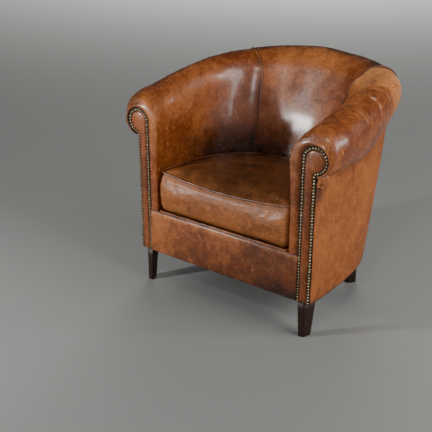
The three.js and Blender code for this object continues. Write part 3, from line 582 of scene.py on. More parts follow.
def join_smoother():
    """A matrix that blurs a section where its inside meets the roll, so that no bend shows there."""
    inside_step, roll_step, blur_width, blur_reach = 0.0095, 0.0046, 0.026, 0.085
    inside = np.arange(inside_count) * inside_step
    roll = inside_count * inside_step + np.arange(crown_count + drop_count) * roll_step
    length = np.concatenate([inside, roll])
    blur = np.exp(-((length[:, None] - length[None, :]) ** 2) / (2 * blur_width**2))
    blur /= blur.sum(axis=1, keepdims=True)
    share = np.exp(-(((length - length[inside_count]) / blur_reach) ** 4))[:, None]
    return share * blur + (1 - share) * np.eye(section_count)


join = join_smoother()


def cover_points(run):
    """Points of the inside and the roll. A run for each row, or one for each row and section point.

    The inside climbs straight and leans back above the seat, the roll is half an ellipse, and the drop to the
    neck is a quarter of one.
    """
    run = np.asarray(run, dtype=float)
    run = run if run.ndim == 2 else run[:, None] + np.zeros(section_count)
    at = stations(run)
    half, crown, middle, shift = roll_at(at)
    column = np.arange(section_count)
    low_z = deck_height + 0.001
    z_in = low_z + (middle - low_z) * np.clip(column / inside_count, 0, 1)
    lean = np.clip((z_in - seat_height) / (middle - seat_height), 0, 1)
    low = -at["wall"] - 0.002 * edge_share(at["run"])
    swell = 0.012 * ease(0.5, 0.8, at["share"]) * np.sin(math.pi * lean)
    u_in = low + (shift - half - low) * lean - swell
    turn = math.pi * (1 - np.clip((column - inside_count) / crown_count, 0, 1))
    u_crown, z_crown = shift + half * np.cos(turn), middle + crown * np.sin(turn)
    fall = math.pi / 2 * np.clip((column - inside_count - crown_count) / (drop_count - 1), 0, 1)
    neck, neck_u = neck_height(at["share"]), flare(at["share"]) + leather + 0.004 * edge_share(at["run"])
    u_drop = neck_u + (shift + half - neck_u) * np.cos(fall)
    z_drop = middle - (middle - neck) * np.sin(fall)
    parts = [column < inside_count, column < inside_count + crown_count]
    u, z = np.select(parts, [u_in, u_crown], u_drop), np.select(parts, [z_in, z_crown], z_drop)
    return place(at, u @ join.T, z @ join.T)


print("section points:", cover_points([0.1, 0.3]).shape)

# %% [markdown]
# ## The seams
# The arm covers meet the back cover at two seams. The leather is pulled round the curve while it is sewn, so
# a seam isn't a plane cut: it bows to the rear low down and to the front over the roll, a little differently
# on each side. Knots give how far, as shares of the section and metres.

# %% Seam bow
seam_knots = {
    1: (
        [0, 0.15, 0.30, 0.42, 0.50, 0.60, 0.74, 0.88, 1],
        [0.004, 0.010, 0.006, -0.018, -0.032, -0.034, -0.036, -0.022, 0],
    ),
    -1: (
        [0, 0.13, 0.22, 0.32, 0.42, 0.50, 0.58, 0.76, 1],
        [0.010, 0.015, 0.021, 0.021, 0.014, -0.004, -0.022, -0.026, 0],
    ),
}


def seam_bow(side):
    """How far the seam lies behind its plane at each section point."""
    return CubicHermite(*seam_knots[side])(np.linspace(0, 1, section_count))


for side, word in both_sides:
    print(word, "seam bows from", seam_bow(side).min().round(3), "to", seam_bow(side).max().round(3))

# %% [markdown]
# ## Front of an arm
# The arm cover starts under the nail row, swells over the front edge and runs back to the seam. Its front is
# a smooth curve through a few known rows of points: the nail row, a row between, the rim and four stations.


# %% Front rows
def through_rows(rows, steps):
    """Catmull-Rom curve through whole rows of points, with the given number of steps between two rows."""
    padded = np.concatenate([rows[:1] * 2 - rows[1:2], rows, rows[-1:] * 2 - rows[-2:-1]])
    s = (np.arange(steps) / steps)[None, :, None, None]
    a, b, c, d = (padded[k : len(rows) - 1 + k][:, None] for k in range(4))
    square, cube = 2 * a - 5 * b + 4 * c - d, 3 * b - a - 3 * c + d
    curve = 0.5 * (2 * b + (c - a) * s + square * s**2 + cube * s**3)
    return np.concatenate([curve.reshape(-1, *rows.shape[1:]), rows[-1:]])


def front_rows():
    """The nail row, the swelling ring and the first stations of the right arm."""
    full = cover_points([0.0])[0]
    radius, neck_x = scroll_radius + 0.0048, facing_outer + 0.0108
    turned = np.concatenate([np.zeros(inside_count), np.linspace(0, 1, crown_count + drop_count)])
    angle = math.pi - (math.pi + math.acos((neck_x - scroll_x) / radius)) * turned
    across, up = scroll_x + radius * np.cos(angle), scroll_z + radius * np.sin(angle)
    nail = np.stack([across, 0 * angle, up], axis=-1)
    nail[:inside_count, 2] = full[:inside_count, 2]
    nail[:inside_count, 0] = scroll_x - radius
    between = nail * 0.55 + full * 0.45 + [0, -0.0075, 0]
    rim = full + [0, -0.003, 0]
    near = cover_points([0.004, 0.010, 0.017, 0.026])
    return through_rows(np.stack([nail, between, rim, *near]), 5)


arm_front = front_rows()
print("front rows:", arm_front.shape)

# %% [markdown]
# ## Folds and creases
# Where the leather is pulled round the scroll it puckers, so shallow folds fan out from the neck and fade
# along the roll. The right arm has also been leaned on for years, which leaves creases across it. Each one
# is a valley with a ridge behind it, along a bowed line from one place on the arm to another.

# %% Folds and creases
section_length = 0.55
creases = [
    # from (run, share of the section), to (run, share of the section), bow to the rear
    ((0.252, 0.43), (0.258, 0.84), 0.032),
    ((0.215, 0.44), (0.255, 0.66), 0.020),
    ((0.275, 0.47), (0.300, 0.70), -0.016),
    ((0.145, 0.50), (0.180, 0.72), 0.014),
    ((0.330, 0.50), (0.340, 0.78), 0.018),
    ((0.385, 0.46), (0.400, 0.74), -0.014),
    ((0.440, 0.48), (0.450, 0.80), 0.012),
    ((0.095, 0.40), (0.110, 0.62), 0.010),
]


def fold_height(points, run, around):
    """Folds that fan out from the neck under the scroll, pull lines round the roll, and soft dents."""
    across = (0.93 - around) * section_length
    reach = np.hypot(run, across)
    fan = np.arctan2(across, run + 1e-6) + lattice_noise(points, 0.022, 3) * 0.16
    folds = np.sin(fan * 15) * ease(0.006, 0.03, reach) * hump(reach, 0, 0.075) * ease(0.60, 0.80, around)
    folds = folds * (1 - ease(0.90, 0.99, around))
    waviness = lattice_noise(points, 0.05, 4) * 0.020
    pull = np.sin((run + waviness) * 2 * math.pi / 0.047) * ease(0.50, 0.90, around) * ease(0.04, 0.14, run)
    pull = pull * 0.0007 * ease(-0.1, 0.5, lattice_noise(points, 0.11, 7))
    dents = lattice_noise(points, 0.085, 5) * 0.0024 + lattice_noise(points, 0.034, 6) * 0.0009
    return folds * 0.0024 + pull + dents * ease(0.0, 0.05, run)


def crease_height(run, around, side):
    """Valleys with a ridge behind them, at full depth on the right arm and shallower on the left."""
    total = np.zeros(run.shape)
    for (run_a, share_a), (run_b, share_b), bow in creases:
        s = np.clip((around - share_a) / (share_b - share_a), 0, 1)
        off = run - (run_a + (run_b - run_a) * s + bow * 4 * s * (1 - s))
        beyond = section_length * np.maximum(0, np.maximum(share_a - around, around - share_b))
        fade = hump(beyond, 0, 0.02) * (0.35 + 0.65 * np.sin(math.pi * s))
        total += fade * (0.0014 * hump(off, 0.008, 0.007) - 0.0025 * hump(off, 0, 0.0055))
    return total * (1.0 if side > 0 else 0.45)


print(len(creases), "creases on each arm")

# %% [markdown]
# ## Wear and painted shade of an arm
# Hands and elbows rub the front edge of an arm. The rear of the right roll has lost its stain altogether.
# Low down inside, along the neck under the roll, over the rim of the left roll and in the groove beside the
# nails the leather is painted darker as shade.


# %% Arm masks
def arm_masks(points, run, around, side):
    """Where the arm is rubbed and where it is dark."""
    right = 1.0 if side > 0 else 0.0
    top = hump(around, 0.50, 0.13)
    outer = ease(0.50, 0.62, around) * (1 - ease(0.86, 1.0, around))
    patchy = 0.78 + 0.30 * lattice_noise(points, 0.05, 46)
    rear = right * ease(0.26, 0.52, run) * patchy
    front_edge = hump(run, 0, 0.035)
    rubbed = 0.12 + 0.10 * top * (1 - front_edge) + 0.95 * rear * np.maximum(top, outer)
    rubbed = rubbed + 0.22 * front_edge * ease(0.2, 0.4, around)
    # Painted shade: low down inside, along the neck under the roll and over the rim of the left roll
    low = 1 - ease(0.42, 0.58, points[..., 2])
    deep_in = ease(0.08, 0.35, run) * (1 - ease(0.35, 0.5, around))
    neck = ease(0.86, 1.0, around)
    rim = ease(0.53, 0.64, around) * 0.55 * (1 - right)
    middle = right * hump(run, 0.20, 0.12) * ease(0.3, 0.5, around) * (1 - ease(0.7, 0.9, around))
    dark = 0.80 * low * deep_in + 0.5 * neck * (1 - 0.7 * rear) + rim + 0.32 * middle
    # A darker line at the seam, and painted shade in the groove beside the nails
    dark = dark + 0.25 * hump(run, seam_run, 0.012) + 0.7 * (1 - ease(0.0005, 0.004, run))
    return leather_masks(rubbed, dark)


sample = arm_masks(np.array([[[0.40, 0.30, 0.60]]]), np.array([[0.45]]), np.array([[0.5]]), 1)
print("rear of the right roll:", {name: values.round(2).item() for name, values in sample.items()})

# %% [markdown]
# ## Arm covers
# Now the rows are put together, and every point moves along the surface's normal by the height of its folds,
# creases and dents. The sheet then gets the thickness of leather on its inner side.


# %% Arm covers
def arm_cover(side):
    """The whole arm cover as a grid, with the run and the share of the section at each of its points."""
    first = 0.030
    share = np.linspace(0, 1, 200)[:, None]
    run = first + (seam_run + seam_bow(side) - half_gap - first) * share
    points = np.concatenate([arm_front, cover_points(run)])
    run = np.concatenate([np.linspace(0, 0.026, len(arm_front))[:, None] + np.zeros(section_count), run])
    around = np.linspace(0, 1, section_count)[None, :] + 0 * run
    puff = 0.0035 * hump(run, 0.055, 0.03) * ease(0.4, 0.6, around)
    height = fold_height(points + [0, 0, side], run, around) + puff + crease_height(run, around, side)
    return points + grid_normals(points) * height[..., None], run, around


for side, word in both_sides:
    points, run, around = arm_cover(side)
    masks = arm_masks(points, run, around, side)
    faces = grid_faces(*points.shape[:2], flip=side < 0)
    uv = np.stack([run, around], axis=-1)
    piece = make_piece(f"{word}_arm_leather", in_frame(points, side), faces, masks, uv)
    thicken(piece, leather)
    dress(piece, "arm_leather", f"{word}_inside_arm_cover", f"{word}_inside_arm_padding", fill=0.95)

# %% [markdown]
# ## Inside back cover
# The back is the same surface between the two seams, with only soft dents. Heads rub the middle of its top.
# Behind the cushion and over the rear of the roll it is darkest, and that darkening is painted shade.

# %% Inside back cover
share = np.linspace(0, 1, 120)[:, None]
right_end = seam_run + seam_bow(1) + half_gap
left_end = 2 * half_length - seam_run - seam_bow(-1) - half_gap
run = right_end + (left_end - right_end) * share
points = cover_points(run)
around = np.linspace(0, 1, section_count)[None, :] + 0 * run
dents = lattice_noise(points, 0.11, 11) * 0.002 + lattice_noise(points, 0.035, 12) * 0.0006
points = points + grid_normals(points) * (0.002 * np.sin(math.pi * share) + dents)[..., None]
# Painted shade low down behind the cushion and over the rear of the roll
low = 1 - ease(0.40, 0.55, points[..., 2])
middle, top = hump(run, half_length, 0.16), hump(around, 0.47, 0.08)
rear = ease(0.52, 0.60, around)
masks = leather_masks(0.16 + 0.22 * top * middle + 0.08 * middle, 0.85 * low + 0.80 * rear)
faces = grid_faces(*points.shape[:2])
piece = make_piece("back_leather", in_frame(points), faces, masks, np.stack([run, around], axis=-1))
thicken(piece, leather)
dress(piece, "arm_leather", "inside_back_cover", "inside_back_padding", fill=0.95)

# %% [markdown]
# ## Outside panels
# Below the roll the outside is one tight panel on each side and one behind, and it leans out as it rises. A
# panel swells over its stuffing but lies flat at its seams, so the swell is eased there. Tight leather
# shows faint upright pull lines, and at the front top corner it is gathered in folds under the scroll.


# %% Shape of an outside panel
def gathers(run, up, below):
    """Small folds beside the facing: pleats along the neck, and a fan under the scroll."""
    reach = np.hypot(run, below)
    pleats = np.sin(run * 2 * math.pi / 0.017) * ease(0.75, 1.0, up) * hump(run, 0, 0.06)
    fan = np.sin(9.0 * np.arctan2(run, below + 0.004)) * hump(reach, 0, 0.060) * ease(0.0, 0.015, reach)
    return pleats * 0.0012 + fan * 0.0030


def outside_panel(first, last, columns, seed):
    """A panel between two distances along the tub, from the bottom edge to the neck."""
    run = np.linspace(first, last, columns)
    at = {key: value[:, None] for key, value in stations(run).items()}
    up = np.linspace(0, 1, 60)[None, :]
    neck = neck_height(at["share"]) - 0.0004
    points = place(at, flare(at["share"]) * up, underside + (neck - underside) * up)
    run_grid = run[:, None] + 0 * points[..., 0]
    seam_gap = np.abs(np.minimum(run_grid, 2 * half_length - run_grid) - seam_run)
    tight = np.sin(math.pi * up) * 0.0018 * (0.2 + 0.8 * ease(0.004, 0.05, seam_gap))
    waves = lattice_noise(points * [1, 1, 0.18], 0.028, seed) * 0.0005
    waves = waves + lattice_noise(points, 0.12, seed + 1) * 0.0011
    fade = np.sin(math.pi * up) ** 0.5 * ease(-0.01, 0.03, seam_gap)
    below = (1 - up) * (neck - underside)
    crumple = lattice_noise(points, 0.015, seed + 2) * 0.0016 * hump(np.hypot(run_grid, below), 0, 0.055)
    height = tight + waves * fade + gathers(run_grid, up, below) + crumple
    return points - grid_normals(points) * height[..., None], run_grid, up + 0 * run_grid


def outside_masks(run, up):
    """Rubbed over the middle, darker at the bottom edge, towards the rear and near the nails at the top, with
    painted shade at the neck under the roll and in the groove right at the nails.
    """
    near = np.minimum(run, 2 * half_length - run)
    rear = ease(0.30, 0.56, near)
    rubbed = 0.42 - 0.2 * rear + 0.16 * np.sin(math.pi * up)
    # Painted shade: the neck term under the roll here, and the narrow hump at the front edge below, in the
    # groove at the nails
    dark = 0.45 * (1 - ease(0.0, 0.16, up)) * (0.4 + 0.6 * rear) + 0.35 * ease(0.90, 1.0, up)
    dark = dark + 0.25 * rear * (1 - up) + 0.35 * hump(near, 0, 0.07) * ease(0.55, 0.95, up)
    dark = dark + 0.75 * hump(near, 0.026, 0.020) * ease(0.72, 0.93, up) + 0.8 * hump(near, 0, 0.006)
    return leather_masks(rubbed, dark)


print("a panel is", outside_panel(0.1, 0.2, 5, 1)[0].shape, "points")

# %% [markdown]
# ## Dressing the outside
# The two arm panels are mirror images but for the noise in them, and the back panel runs from seam to seam.
# A hair's breadth stays open at each seam, where the piping will lie.

# %% Outside covers
arm_ends = (0.005, seam_run - half_gap, 130)
back_ends = (seam_run + half_gap, 2 * half_length - seam_run - half_gap, 110)
for name, node, ends, side, seed in (
    ("right_outside_leather", "right_outside_arm_cover", arm_ends, 1, 22),
    ("left_outside_leather", "left_outside_arm_cover", arm_ends, -1, 20),
    ("back_outside_leather", "outside_back_cover", back_ends, 1, 32),
):
    points, run, up = outside_panel(*ends, seed)
    faces = grid_faces(*points.shape[:2], flip=side > 0)
    uv = np.stack([run, up], axis=-1)
    piece = make_piece(name, in_frame(points, side), faces, outside_masks(run, up), uv)
    thicken(piece, leather)
    dress(piece, "worn_leather", node)

# %% [markdown]
# ## Facings
# Each arm ends in a keyhole: a narrow padded panel that widens into a scroll. A row of dome nails follows its
# edge and holds both leathers down. The outline is a straight side, an arc, a small hollow and then the
# other side.


# %% Keyhole outline
def keyhole(offset, foot, step=0.003):
    """Outline of the facing at a distance outside the nail row, as points a step apart."""
    radius, hollow = scroll_radius + offset, neck_fillet - offset
    hollow_x = facing_outer + offset + hollow
    hollow_z = scroll_z - math.sqrt((scroll_radius + neck_fillet) ** 2 - (hollow_x - scroll_x) ** 2)
    meet = math.atan2(hollow_z - scroll_z, hollow_x - scroll_x)
    rise = np.linspace(foot, scroll_z, int((scroll_z - foot) / step))[:-1]
    turn = np.linspace(math.pi, meet, int(radius * (math.pi - meet) / step))
    back = np.linspace(meet + math.pi, math.pi, 14)[1:]
    drop = np.linspace(hollow_z, foot, int((hollow_z - foot) / step))[1:]
    stretches = [
        np.stack([0 * rise + scroll_x - radius, rise], axis=-1),
        np.stack([scroll_x + radius * np.cos(turn), scroll_z + radius * np.sin(turn)], axis=-1),
        np.stack([hollow_x + hollow * np.cos(back), hollow_z + hollow * np.sin(back)], axis=-1),
        np.stack([0 * drop + facing_outer + offset, drop], axis=-1),
    ]
    return np.concatenate(stretches)


print("points of the nail row:", len(keyhole(0.0, underside)))

# %% [markdown]
# ## Facing panels
# A facing is a pillow. It rises from its edge to a middle line that goes up the stem and over to the scroll,
# as a slice of wadding under tight leather does.

# %% Facing panels
panel_inset, panel_foot, panel_rise, stem_top = 0.0040, 0.1212, 0.0065, 0.538


def spine_point(outline, foot):
    """The nearest point of each outline point on the middle line: up the stem, then over to the scroll."""
    middle = (facing_inner + facing_outer) / 2
    corners = np.array([[middle, foot + 0.013], [middle, stem_top], [scroll_x, scroll_z]])
    best, distance = np.zeros_like(outline), np.full(len(outline), np.inf)
    for start, end in zip(corners[:-1], corners[1:]):
        s = np.clip(((outline - start) @ (end - start)) / ((end - start) @ (end - start)), 0, 1)
        point = start + s[:, None] * (end - start)
        gap = np.linalg.norm(outline - point, axis=1)
        best[gap < distance] = point[gap < distance]
        distance = np.minimum(gap, distance)
    kernel = np.ones(9) / 9
    smooth = [np.convolve(np.pad(best[:, k], 4, mode="edge"), kernel, mode="valid") for k in range(2)]
    return np.stack(smooth, axis=-1)


def facing_panel(side):
    """A pillow over the keyhole: it rises from the edge along a quarter circle to the middle line."""
    outline = keyhole(-panel_inset, panel_foot)
    spine = spine_point(outline, panel_foot)
    s = np.linspace(0, 1, 12)[None, :, None]
    flat = outline[:, None] * (1 - s) + spine[:, None] * s
    height = panel_rise * np.sqrt(1 - (1 - s[..., 0]) ** 2) ** 0.8
    points = np.stack([flat[..., 0], 0.001 - height + 0 * flat[..., 0], flat[..., 1]], axis=-1)
    points[..., 1] += lattice_noise(points * [1, 1, 0.5], 0.02, 41 + side) * 0.0005 * s[..., 0]
    return np.concatenate([points[:, :1] + [0, 0.0022, 0], points], axis=1)


def dress_facing(side, word):
    """The panel of one side: its scroll is rubbed, and its edge is painted dark as the shade of the groove at
    the nails.
    """
    points = facing_panel(side)
    high = ease(0.53, 0.60, points[..., 2])
    edge = 1 - np.linspace(0, 1, points.shape[1])[None, :] ** 0.5 + 0 * high
    faces = grid_faces(*points.shape[:2], flip=side > 0)
    # Painted shade along the edge, where the pillow sinks into the groove at the nails
    masks = leather_masks(0.20 + 0.25 * high, edge * 0.8 - 0.1)
    piece = make_piece(f"{word}_facing_leather", in_frame(points, side), faces, masks)
    dress(piece, "facing_leather", f"{word}_facing_panel", fill=0.9)


print("points of a facing:", facing_panel(1).shape)

# %% [markdown]
# ## Nails and their strip
# The nails go through a dark strip of leather that covers the raw edges. Its near-black colour is also
# painted
# shade: the strip is as wide as the shadowed groove beside the nails. Each head is a low dome of a few
# rings, a little out of line and a little tilted, since every one was hammered in by hand.

# %% Nails and strip
strip_out, strip_in, strip_foot = 0.0058, 0.0054, 0.1206
nail_pitch, nail_foot = 0.0094, 0.1255
dome = np.array([[0.0035, 0.0], [0.0033, 0.0013], [0.0026, 0.0024], [0.0013, 0.0031], [0.0001, 0.0033]])


def nail_strip():
    """A band between two outlines, drawn in along its middle, where the nails hold it."""
    outer, inner = keyhole(strip_out, strip_foot), keyhole(-strip_in, strip_foot)
    share = np.linspace(0, 1, len(inner))
    outer_share = np.linspace(0, 1, len(outer))
    outer = np.stack([np.interp(share, outer_share, outer[:, k]) for k in range(2)], axis=-1)
    across = np.linspace(0, 1, 7)[None, :, None]
    band = inner[:, None] * (1 - across) + outer[:, None] * across
    depth = 0.0004 + 0.0012 * np.sin(math.pi * across[..., 0])
    return np.stack([band[..., 0], depth + 0 * band[..., 0], band[..., 1]], axis=-1)


def nail_places():
    """Even places along the nail row."""
    line = keyhole(0.0, nail_foot, 0.001)
    step = np.linalg.norm(np.diff(line, axis=0), axis=1)
    length = np.concatenate([[0], np.cumsum(step)])
    even = np.linspace(0, length[-1], int(length[-1] // nail_pitch) + 1)
    return np.stack([np.interp(even, length, line[:, k]) for k in range(2)], axis=-1)


def nail_heads(side):
    """All the domes of one facing, each a little tilted and moved."""
    rng = np.random.default_rng(50 + side)
    places = nail_places()
    places = places + rng.normal(0, 0.00025, places.shape)
    turn = np.linspace(0, 2 * math.pi, 10, endpoint=False)
    radius, rise = dome[:, :1], dome[:, 1:]
    local = np.stack([radius * np.cos(turn), -rise + 0 * turn, radius * np.sin(turn)], axis=-1)
    tilt = rng.normal(0, 0.06, (len(places), 2))[:, :, None, None]
    seats = np.stack([places[:, 0], 0 * places[:, 0] - 0.0006, places[:, 1]], axis=-1)
    points = local[None] + seats[:, None, None]
    points[..., 1] += tilt[:, 0] * local[None, ..., 0] + tilt[:, 1] * local[None, ..., 2]
    one = grid_faces(len(dome), len(turn), loop_columns=True)
    first = np.arange(len(places)) * len(dome) * len(turn)
    return points.reshape(-1, 3), (one[None] + first[:, None, None]).reshape(-1, 4)


def dress_trim(side, word):
    """The strip and the nails of one side."""
    strip = nail_strip()
    faces = grid_faces(*strip.shape[:2], flip=side < 0)
    # Dark all over: the strip's own near-black and the painted shade of the groove
    masks = leather_masks(np.zeros(strip.shape[:2]), np.ones(strip.shape[:2]))
    piece = make_piece(f"{word}_nail_strip", in_frame(strip, side), faces, masks)
    thicken(piece, 0.001)
    dress(piece, "strip_leather", f"{word}_nailed_trim", slot="welt_leather")
    points, faces = nail_heads(side)
    piece = make_piece(f"{word}_nail_heads", in_frame(points, side), faces if side < 0 else faces[:, ::-1])
    dress(piece, "nail_brass", f"{word}_nailed_trim")


print("nails on a facing:", len(nail_places()))

# %% [markdown]
# ## Both facings
# On each side the panel goes on first, then the strip over its raw edge, then the nails.

# %% Both facings
for side, word in both_sides:
    dress_facing(side, word)
    dress_trim(side, word)

# %% [markdown]
# ## Tubes for the welts
# A welt is a cord in a folded strip of leather, sewn into a seam. It is a tube along a line. The tube's
# frame turns with the line, so that a closed ring meets itself.


# %% Tubes
def even_line(points, closed=False):
    """The same line with points a small, even step apart."""
    step = 0.004
    points = np.asarray(points)
    if closed:
        points = np.concatenate([points, points[:1]])
    length = np.concatenate([[0], np.cumsum(np.linalg.norm(np.diff(points, axis=0), axis=1))])
    even = np.linspace(0, length[-1], max(4, int(length[-1] / step)), endpoint=not closed)
    return np.stack([np.interp(even, length, points[:, k]) for k in range(3)], axis=-1)


def tube(line, radius, closed, seed):
    """Circles square to a line of points, with a slightly uneven radius."""
    if closed:
        along = np.roll(line, -1, axis=0) - np.roll(line, 1, axis=0)
    else:
        along = np.gradient(line, axis=0)
    along /= np.linalg.norm(along, axis=1, keepdims=True)
    across = np.cross(along, [0.0, 0.0, 1.0])
    steep = np.linalg.norm(across, axis=1, keepdims=True) < 0.2
    across = np.where(steep, np.cross(along, [0.0, 1.0, 0.0]), across)
    across /= np.linalg.norm(across, axis=1, keepdims=True)
    up = np.cross(across, along)
    turn = np.linspace(0, 2 * math.pi, 10, endpoint=False)
    uneven = radius * (1 + 0.08 * lattice_noise(line, 0.012, seed))[:, None, None]
    circle = np.cos(turn)[None, :, None] * across[:, None] + np.sin(turn)[None, :, None] * up[:, None]
    return line[:, None] + circle * uneven


def fix_outward(piece):
    """Merges doubled points and turns all faces outwards."""
    work = bmesh.new()
    work.from_mesh(piece.data)
    bmesh.ops.remove_doubles(work, verts=work.verts, dist=1e-6)
    bmesh.ops.recalc_face_normals(work, faces=work.faces)
    work.to_mesh(piece.data)
    work.free()


def welt_piece(name, line, radius, node, seed, closed=False):
    """A tube with closed ends along a line in the shared frame."""
    rings = tube(line, radius, closed, seed)
    if not closed:
        rings = np.concatenate([rings[:1] * 0 + line[0], rings, rings[:1] * 0 + line[-1]])
    faces = grid_faces(*rings.shape[:2], loop_rows=closed, loop_columns=True)
    worn = 0.35 + 0.5 * lattice_noise(rings, 0.03, seed + 3)
    piece = make_piece(name, rings, faces, leather_masks(worn, np.full(rings.shape[:2], 0.25)))
    fix_outward(piece)
    dress(piece, "welt_leather", node)


print("a line of 0.1 m gets", len(even_line([[0, 0, 0], [0.1, 0, 0]])), "points")

# %% [markdown]
# ## Crumpled tab
# Under the right scroll the gathered end of the roll's leather has come loose and hangs out over the
# panel. It is a small sheet on the panel's own surface, swollen, folded downwards, paler along its lower and
# far edges and darker where it leaves the neck.


# %% Crumpled tab
def neck_tab():
    """The tab as a grid, with the share along it and the share down it at each point.

    It hangs along half a sine, swells along another, and its folds are a sine wave pushed about by noise.
    """
    share = np.linspace(0, 1, 48)[:, None]
    at = {key: value[:, None] for key, value in stations(0.004 + 0.058 * share[:, 0]).items()}
    down = np.linspace(0, 1, 30)[None, :]
    neck = neck_height(at["share"])
    length = 0.018 + 0.027 * np.sin(math.pi * np.clip(share + 0.10, 0, 1)) + 0.003 * np.sin(share * 17)
    z = neck + 0.004 - length * down
    points = place(at, flare(at["share"]) * (z - underside) / (neck - underside), z)
    downwards = np.sin(math.pi * np.clip(down * 0.9 + 0.1, 0, 1)) ** 0.8
    swell = 0.0090 * downwards * np.sin(math.pi * (0.06 + 0.88 * share)) ** 0.6
    wave = share * 21 + down * 2.6 + lattice_noise(points, 0.02, 41) * 1.2
    fold = np.sin(wave) * 0.0018 * ease(0.0, 0.3, down)
    crumple = lattice_noise(points, 0.008, 42) * 0.0011
    points = points + grid_normals(points) * (0.0022 + swell + fold + crumple)[..., None]
    return points, share + 0 * down, down + 0 * share


points, share, down = neck_tab()
edge = np.clip(ease(0.80, 1.0, down) + ease(0.9, 1.0, share), 0, 1)
masks = leather_masks(0.28 + 0.5 * edge, 0.30 - 0.4 * edge - 0.3 * np.sin(math.pi * down))
piece = make_piece("right_neck_tab", in_frame(points), grid_faces(*points.shape[:2]), masks)
thicken(piece, 0.0018)
dress(piece, "arm_leather")

# %% [markdown]
# ## Seam welts
# Each of the four upright seams is piped. The inside line is read off the cover itself, so it bows with the
# seam, and it is pushed out along the normal until the cord stands proud of the leather.


# %% Seam welts
def seam_line(side):
    """The line of the inside seam, a little proud of the leather."""
    seam = cover_points(seam_run + seam_bow(side) + np.array([[0.0], [0.002]]))
    line = seam[0] + grid_normals(seam)[0] * 0.0012
    return line[seam[0][:, 2] > deck_height + 0.02]


at = {key: value[:, None] for key, value in stations([seam_run]).items()}
up = np.linspace(0.004, 1, 60)[None, :]
neck = neck_height(at["share"]) - 0.004
outer_line = place(at, flare(at["share"]) * up + 0.0032, underside + (neck - underside) * up)[0]
for side, word in both_sides:
    for part, line, radius in (("inside", seam_line(side), 0.0028), ("outside", outer_line, 0.0026)):
        name, node = f"{word}_{part}_seam_piping", f"{word}_{part}_seam_welt"
        welt_piece(name, even_line(in_frame(line, side)), radius, node, 61 + side)

# %% [markdown]
# ## Front border
# Under the cushion a leather border is stretched over the front rail. It swells a little, is piped along its
# top edge, and is darkest low down on the right.

# %% Front border
border_half, border_top, border_swell = 0.2909, deck_height - 0.006, 0.0045
x = np.linspace(-border_half, border_half, 150)[:, None]
up = np.linspace(0, 1, 40)[None, :]
z = underside + (border_top - underside) * up + 0 * x
swell = border_swell * np.sin(math.pi * up) ** 0.7 + 0 * x
points = np.stack([x + 0 * up, -swell, z], axis=-1)
points[..., 1] -= lattice_noise(points * [0.5, 1, 1], 0.06, 71) * 0.0012 * np.sin(math.pi * up)
tuck = points[:, -1:] + [0, 0.002, 0.0005]
fold = points[:, :1] + [0, 0.002, 0.0]
points = np.concatenate([fold, points, tuck], axis=1)
low = 1 - ease(0.12, 0.2, points[..., 2])
right = ease(-0.1, 0.29, points[..., 0])
rubbed = 0.22 - 0.2 * right + 0.3 * ease(0.245, 0.262, points[..., 2])
masks = leather_masks(rubbed, 0.15 + 0.30 * right + 0.45 * right * low + 0.15 * low)
faces = grid_faces(*points.shape[:2], flip=True)
piece = make_piece("front_border_leather", in_frame(points), faces, masks)
thicken(piece, 0.002)
dress(piece, "arm_leather", "front_border_cover")
along = np.linspace(-border_half, border_half, 140)
line = np.stack([along, np.full(140, -0.0012), np.full(140, deck_height - 0.0026)], axis=-1)
welt_piece("front_border_piping", in_frame(line), 0.0030, "front_border_welt", 73)

# %% [markdown]
# ## Seat cushion
# The cushion is a D-shaped box of leather over a firm filling. Its top is crowned, and its front sags in the
# middle and rises to an ear at each corner. It starts as a closed shell: rings of the same plan, drawn in
# and lifted from the middle of the underside to the middle of the top.

# %% Cushion shell
cushion_middle = straight_run + inside_depth * 0.2
side_gap, rear_gap, nose, corner_radius = 0.004, 0.008, -0.007, 0.014


def seat_plan(side, rear, front, corner):
    """Outline of the space between the arms and the back, less its clearances, as a closed ring."""
    half = inside_half_width - side
    turn = np.linspace(-math.pi / 2, 0, 9)
    across, back = half - corner + corner * np.cos(turn), front + corner + corner * np.sin(turn)
    right = np.stack([across, back], axis=-1)
    angle = np.linspace(0, math.pi, 44)
    clearance = side + (rear - side) * ease(0.2, 0.75, np.sin(angle))
    radius = superellipse(inside_half_width, inside_depth, inside_squareness, angle) - clearance
    arc = np.stack([radius * np.cos(angle), straight_run + radius * np.sin(angle)], axis=-1)
    left = right[::-1] * [-1, 1]
    edge = np.stack([np.linspace(-half + corner, half - corner, 26)[1:-1], np.full(24, front)], axis=-1)
    return np.concatenate([right, arc, left, edge])


def cushion_ring(inset, front_inset, z, squeeze=1.0):
    """One ring of the cushion: the plan drawn in, squeezed about the cushion's middle, at a height."""
    plan = seat_plan(side_gap + inset, rear_gap + inset, nose + front_inset, corner_radius)
    middle = np.array([0, cushion_middle])
    plan = middle + (plan - middle) * squeeze
    return np.concatenate([plan, np.full((len(plan), 1), z)], axis=1)


def sagged(ring, amount):
    """The front sags in its middle and rises to an ear at each corner. The rear is level."""
    corner = np.minimum(1, np.abs(ring[:, 0]) / inside_half_width) ** 2
    near = 1 - ease(0.013, cushion_middle + inside_depth * 0.3, ring[:, 1])
    rise = amount * near * (corner * 0.020 - 0.014)
    return ring + rise[:, None] * np.array([0, 0, 1.0])


